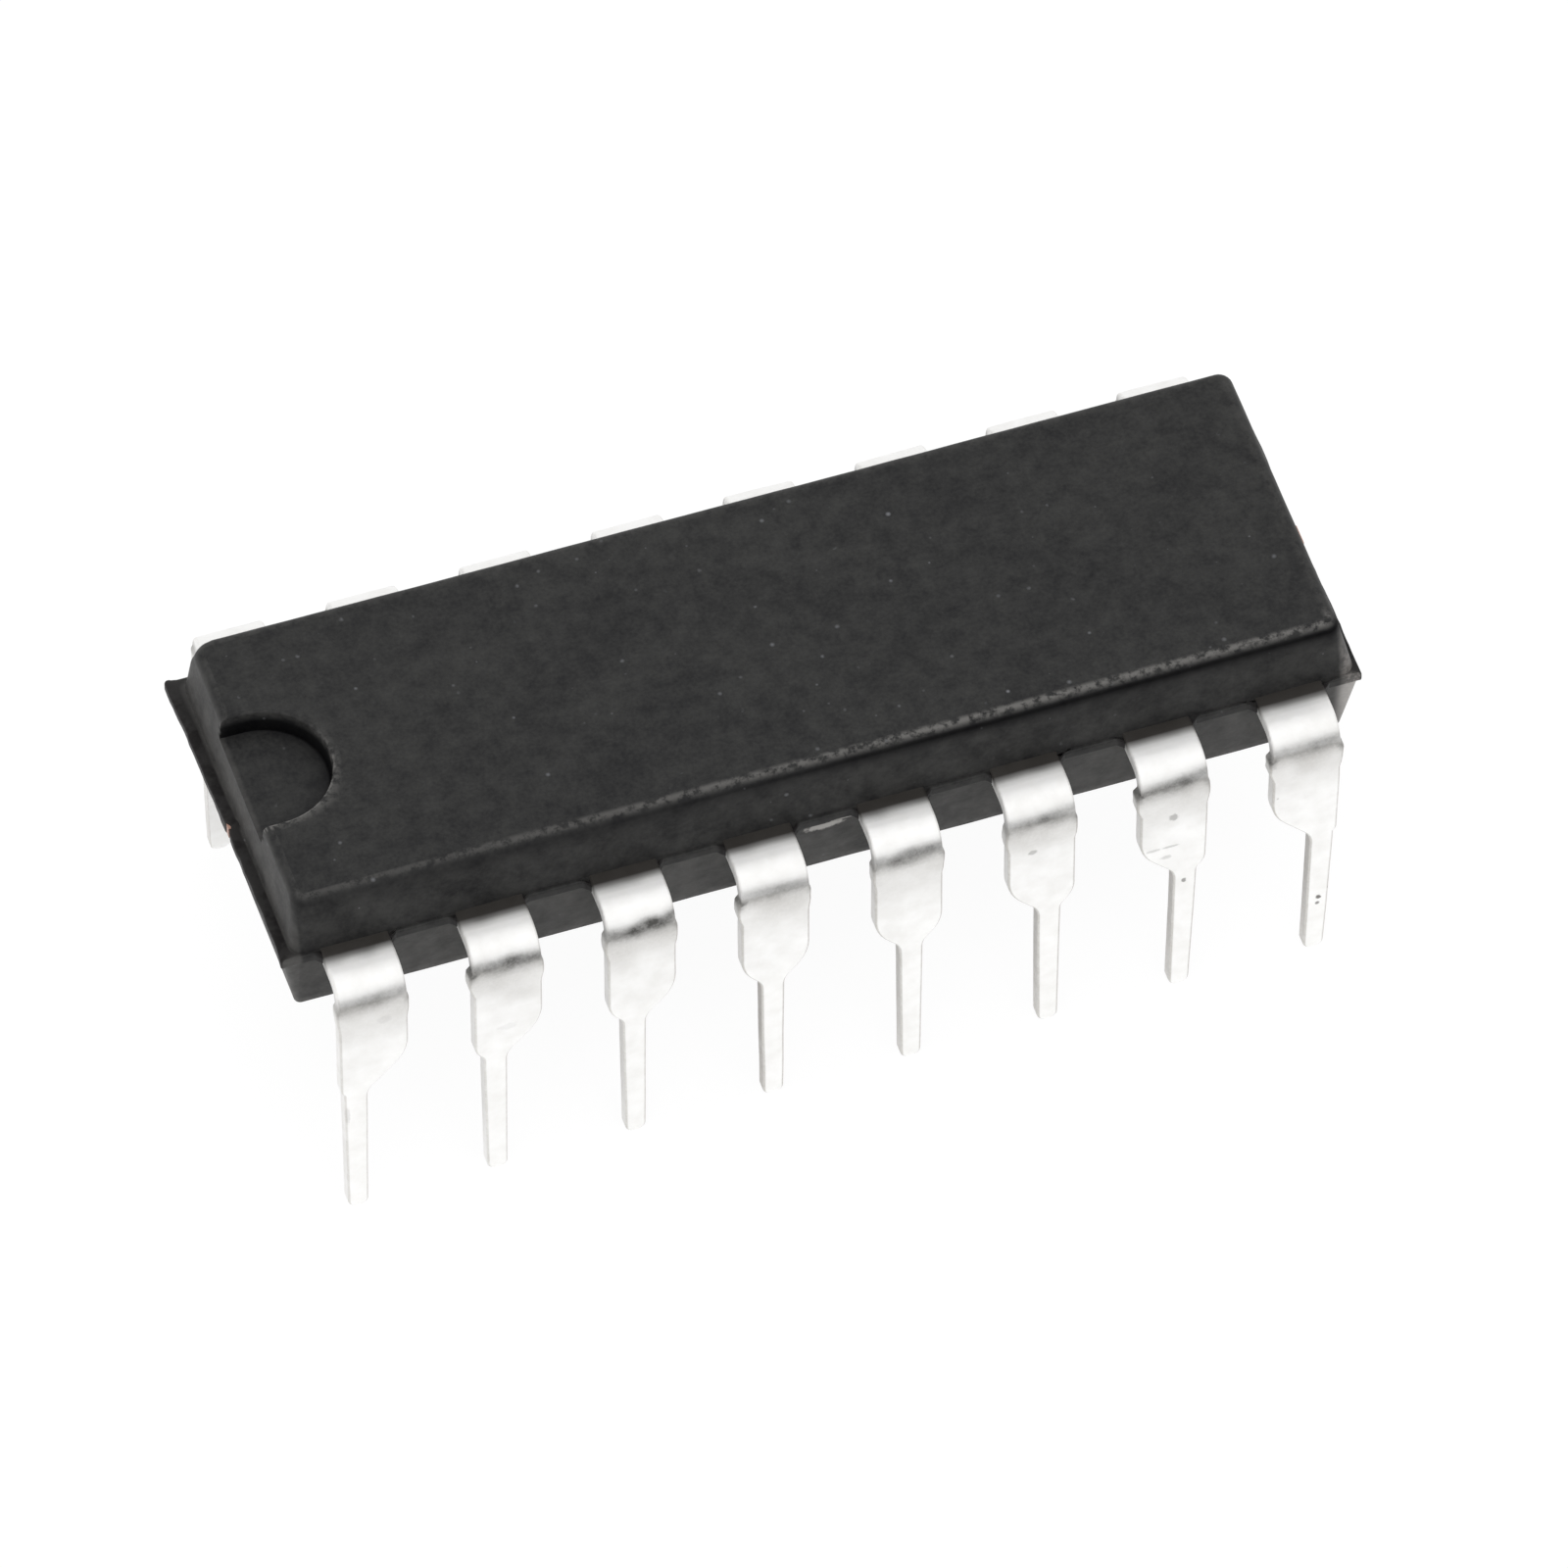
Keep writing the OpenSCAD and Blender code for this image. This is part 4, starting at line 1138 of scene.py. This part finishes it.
def add_camera(s, scene):
    """The camera stands back from its target by azimuth, elevation and distance, and has its roll."""
    flat = math.cos(s.elevation)
    back = Vector((math.sin(s.azimuth) * flat, -math.cos(s.azimuth) * flat, math.sin(s.elevation)))
    level = Vector((0, 0, 1)).cross(back).normalized()
    rise = back.cross(level)
    right = math.cos(s.roll) * level + math.sin(s.roll) * rise
    up = math.cos(s.roll) * rise - math.sin(s.roll) * level
    data = bpy.data.cameras.new("view")
    data.lens, data.sensor_width, data.clip_start = s.lens, 36.0, 0.01
    camera = bpy.data.objects.new("view", data)
    turned = Matrix((right, up, back)).transposed().to_4x4()
    camera.matrix_world = Matrix.Translation(Vector((s.aim_x, 0, s.aim_z)) + back * s.distance) @ turned
    scene.collection.objects.link(camera)
    scene.camera = camera


def shine(tree, strength):
    """White light that a surface gives off."""
    return node(tree, "ShaderNodeEmission", {"Color": WHITE, "Strength": strength}).outputs[0]


def mix_shader(tree, share, first, second):
    """Two shaders mixed by a share."""
    return node(tree, "ShaderNodeMixShader", {0: share, 1: first, 2: second}).outputs[0]


def add_floor(s, scene):
    """A wide white floor: white for the camera but for a faint shadow, and lit from within for the object.

    In reflections it falls from white near the object to grey in front, and it is dim under the moulding.
    From below the camera sees through it.
    """
    half = 1.5
    mesh = bpy.data.meshes.new("floor")
    places = [(-half, -half, 0), (half, -half, 0), (half, half, 0), (-half, half, 0)]
    mesh.from_pydata(places, [], [(0, 1, 2, 3)])
    made, tree = blank_material("White floor")
    rays = node(tree, "ShaderNodeLightPath").outputs
    x, y, _ = axes(tree, object_place(tree))
    front = y.ramp(-12.0 * MM, -7.2 * MM, 0.12, 1.0)
    beyond = abs(x).ramp(8.5 * MM, 10.5 * MM).most(abs(y).ramp(2.2 * MM, 4.2 * MM))
    mirrored = shine(tree, front * beyond.ramp(0.0, 1.0, 0.55, 1.0))
    paper = node(tree, "ShaderNodeBsdfDiffuse", {"Color": PAPER}).outputs[0]
    lit, plain = (node(tree, "ShaderNodeAddShader", {0: paper, 1: shine(tree, strength)}).outputs[0]
                  for strength in (s.glow, s.fill))
    above = mix_shader(tree, s.whiteness, plain, shine(tree, 1.0))
    clear = node(tree, "ShaderNodeBsdfTransparent").outputs[0]
    seen = mix_shader(tree, node(tree, "ShaderNodeNewGeometry").outputs["Backfacing"], above, clear)
    unseen = mix_shader(tree, rays["Is Glossy Ray"], lit, mirrored)
    surface = mix_shader(tree, rays["Is Camera Ray"], unseen, seen)
    feed(node(tree, "ShaderNodeOutputMaterial"), "Surface", surface)
    mesh.materials.append(made)
    floor = bpy.data.objects.new("floor", mesh)
    scene.collection.objects.link(floor)


def add_world(s, scene):
    """White for the camera and in reflections, and a plainer light for matt surfaces."""
    world = bpy.data.worlds.new("Studio")
    scene.world = world
    world.use_nodes = True
    tree = world.node_tree
    tree.nodes.clear()
    rays = node(tree, "ShaderNodeLightPath")
    ambient, white = (node(tree, "ShaderNodeBackground", {"Color": WHITE, "Strength": strength}).outputs[0]
                      for strength in (s.ambient, 1.0))
    seen = Value(rays, "Is Camera Ray").most(Value(rays, "Is Glossy Ray"))
    feed(node(tree, "ShaderNodeOutputWorld"), "Surface", mix_shader(tree, seen, ambient, white))


def add_lamps(s, scene):
    """Two soft square lamps overhead, a strong one over the front and a weak one over the rear."""
    for name, place, power in (("front", (-0.03, -0.12, 0.29), s.key), ("rear", (0.03, 0.20, 0.24), s.rear)):
        data = bpy.data.lights.new(name, "AREA")
        data.shape, data.size, data.energy = "SQUARE", 0.25, power
        lamp = bpy.data.objects.new(name, data)
        lamp.location = place
        lamp.rotation_euler = Vector(place).to_track_quat("Z", "Y").to_euler()
        lamp.visible_glossy = False
        scene.collection.objects.link(lamp)


class PACKAGE_PT_panel(bpy.types.Panel):
    """Lists the buttons that build the package's pieces and its stage"""
    bl_idname = "PACKAGE_PT_panel"
    bl_label = "Package"
    bl_space_type = "VIEW_3D"
    bl_region_type = "UI"
    bl_category = "Package"

    def draw(self, context):
        for operator in OPERATORS:
            self.layout.operator(operator.bl_idname)


GROUPS = {"moulding": MouldingSettings, "leads": LeadSettings, "core": CoreSettings, "stage": StageSettings}
OPERATORS = (PACKAGE_OT_moulding, PACKAGE_OT_leads, PACKAGE_OT_core, PACKAGE_OT_stage)


def register():
    for cls in (*GROUPS.values(), *OPERATORS, PACKAGE_PT_panel):
        bpy.utils.register_class(cls)
    for name, cls in GROUPS.items():
        setattr(bpy.types.Scene, name, PointerProperty(type=cls))


def unregister():
    for name in GROUPS:
        delattr(bpy.types.Scene, name)
    for cls in reversed((*GROUPS.values(), *OPERATORS, PACKAGE_PT_panel)):
        bpy.utils.unregister_class(cls)


def corners(box):
    """A box's two corners as plain lists."""
    return [[float(value) for value in corner] for corner in box]


def main():
    """Register the classes, and build every piece and the stage."""
    register()
    bpy.ops.package.moulding()
    bpy.ops.package.leads()
    bpy.ops.package.core()
    bpy.ops.package.stage()


if __name__ == "__main__":
    main()
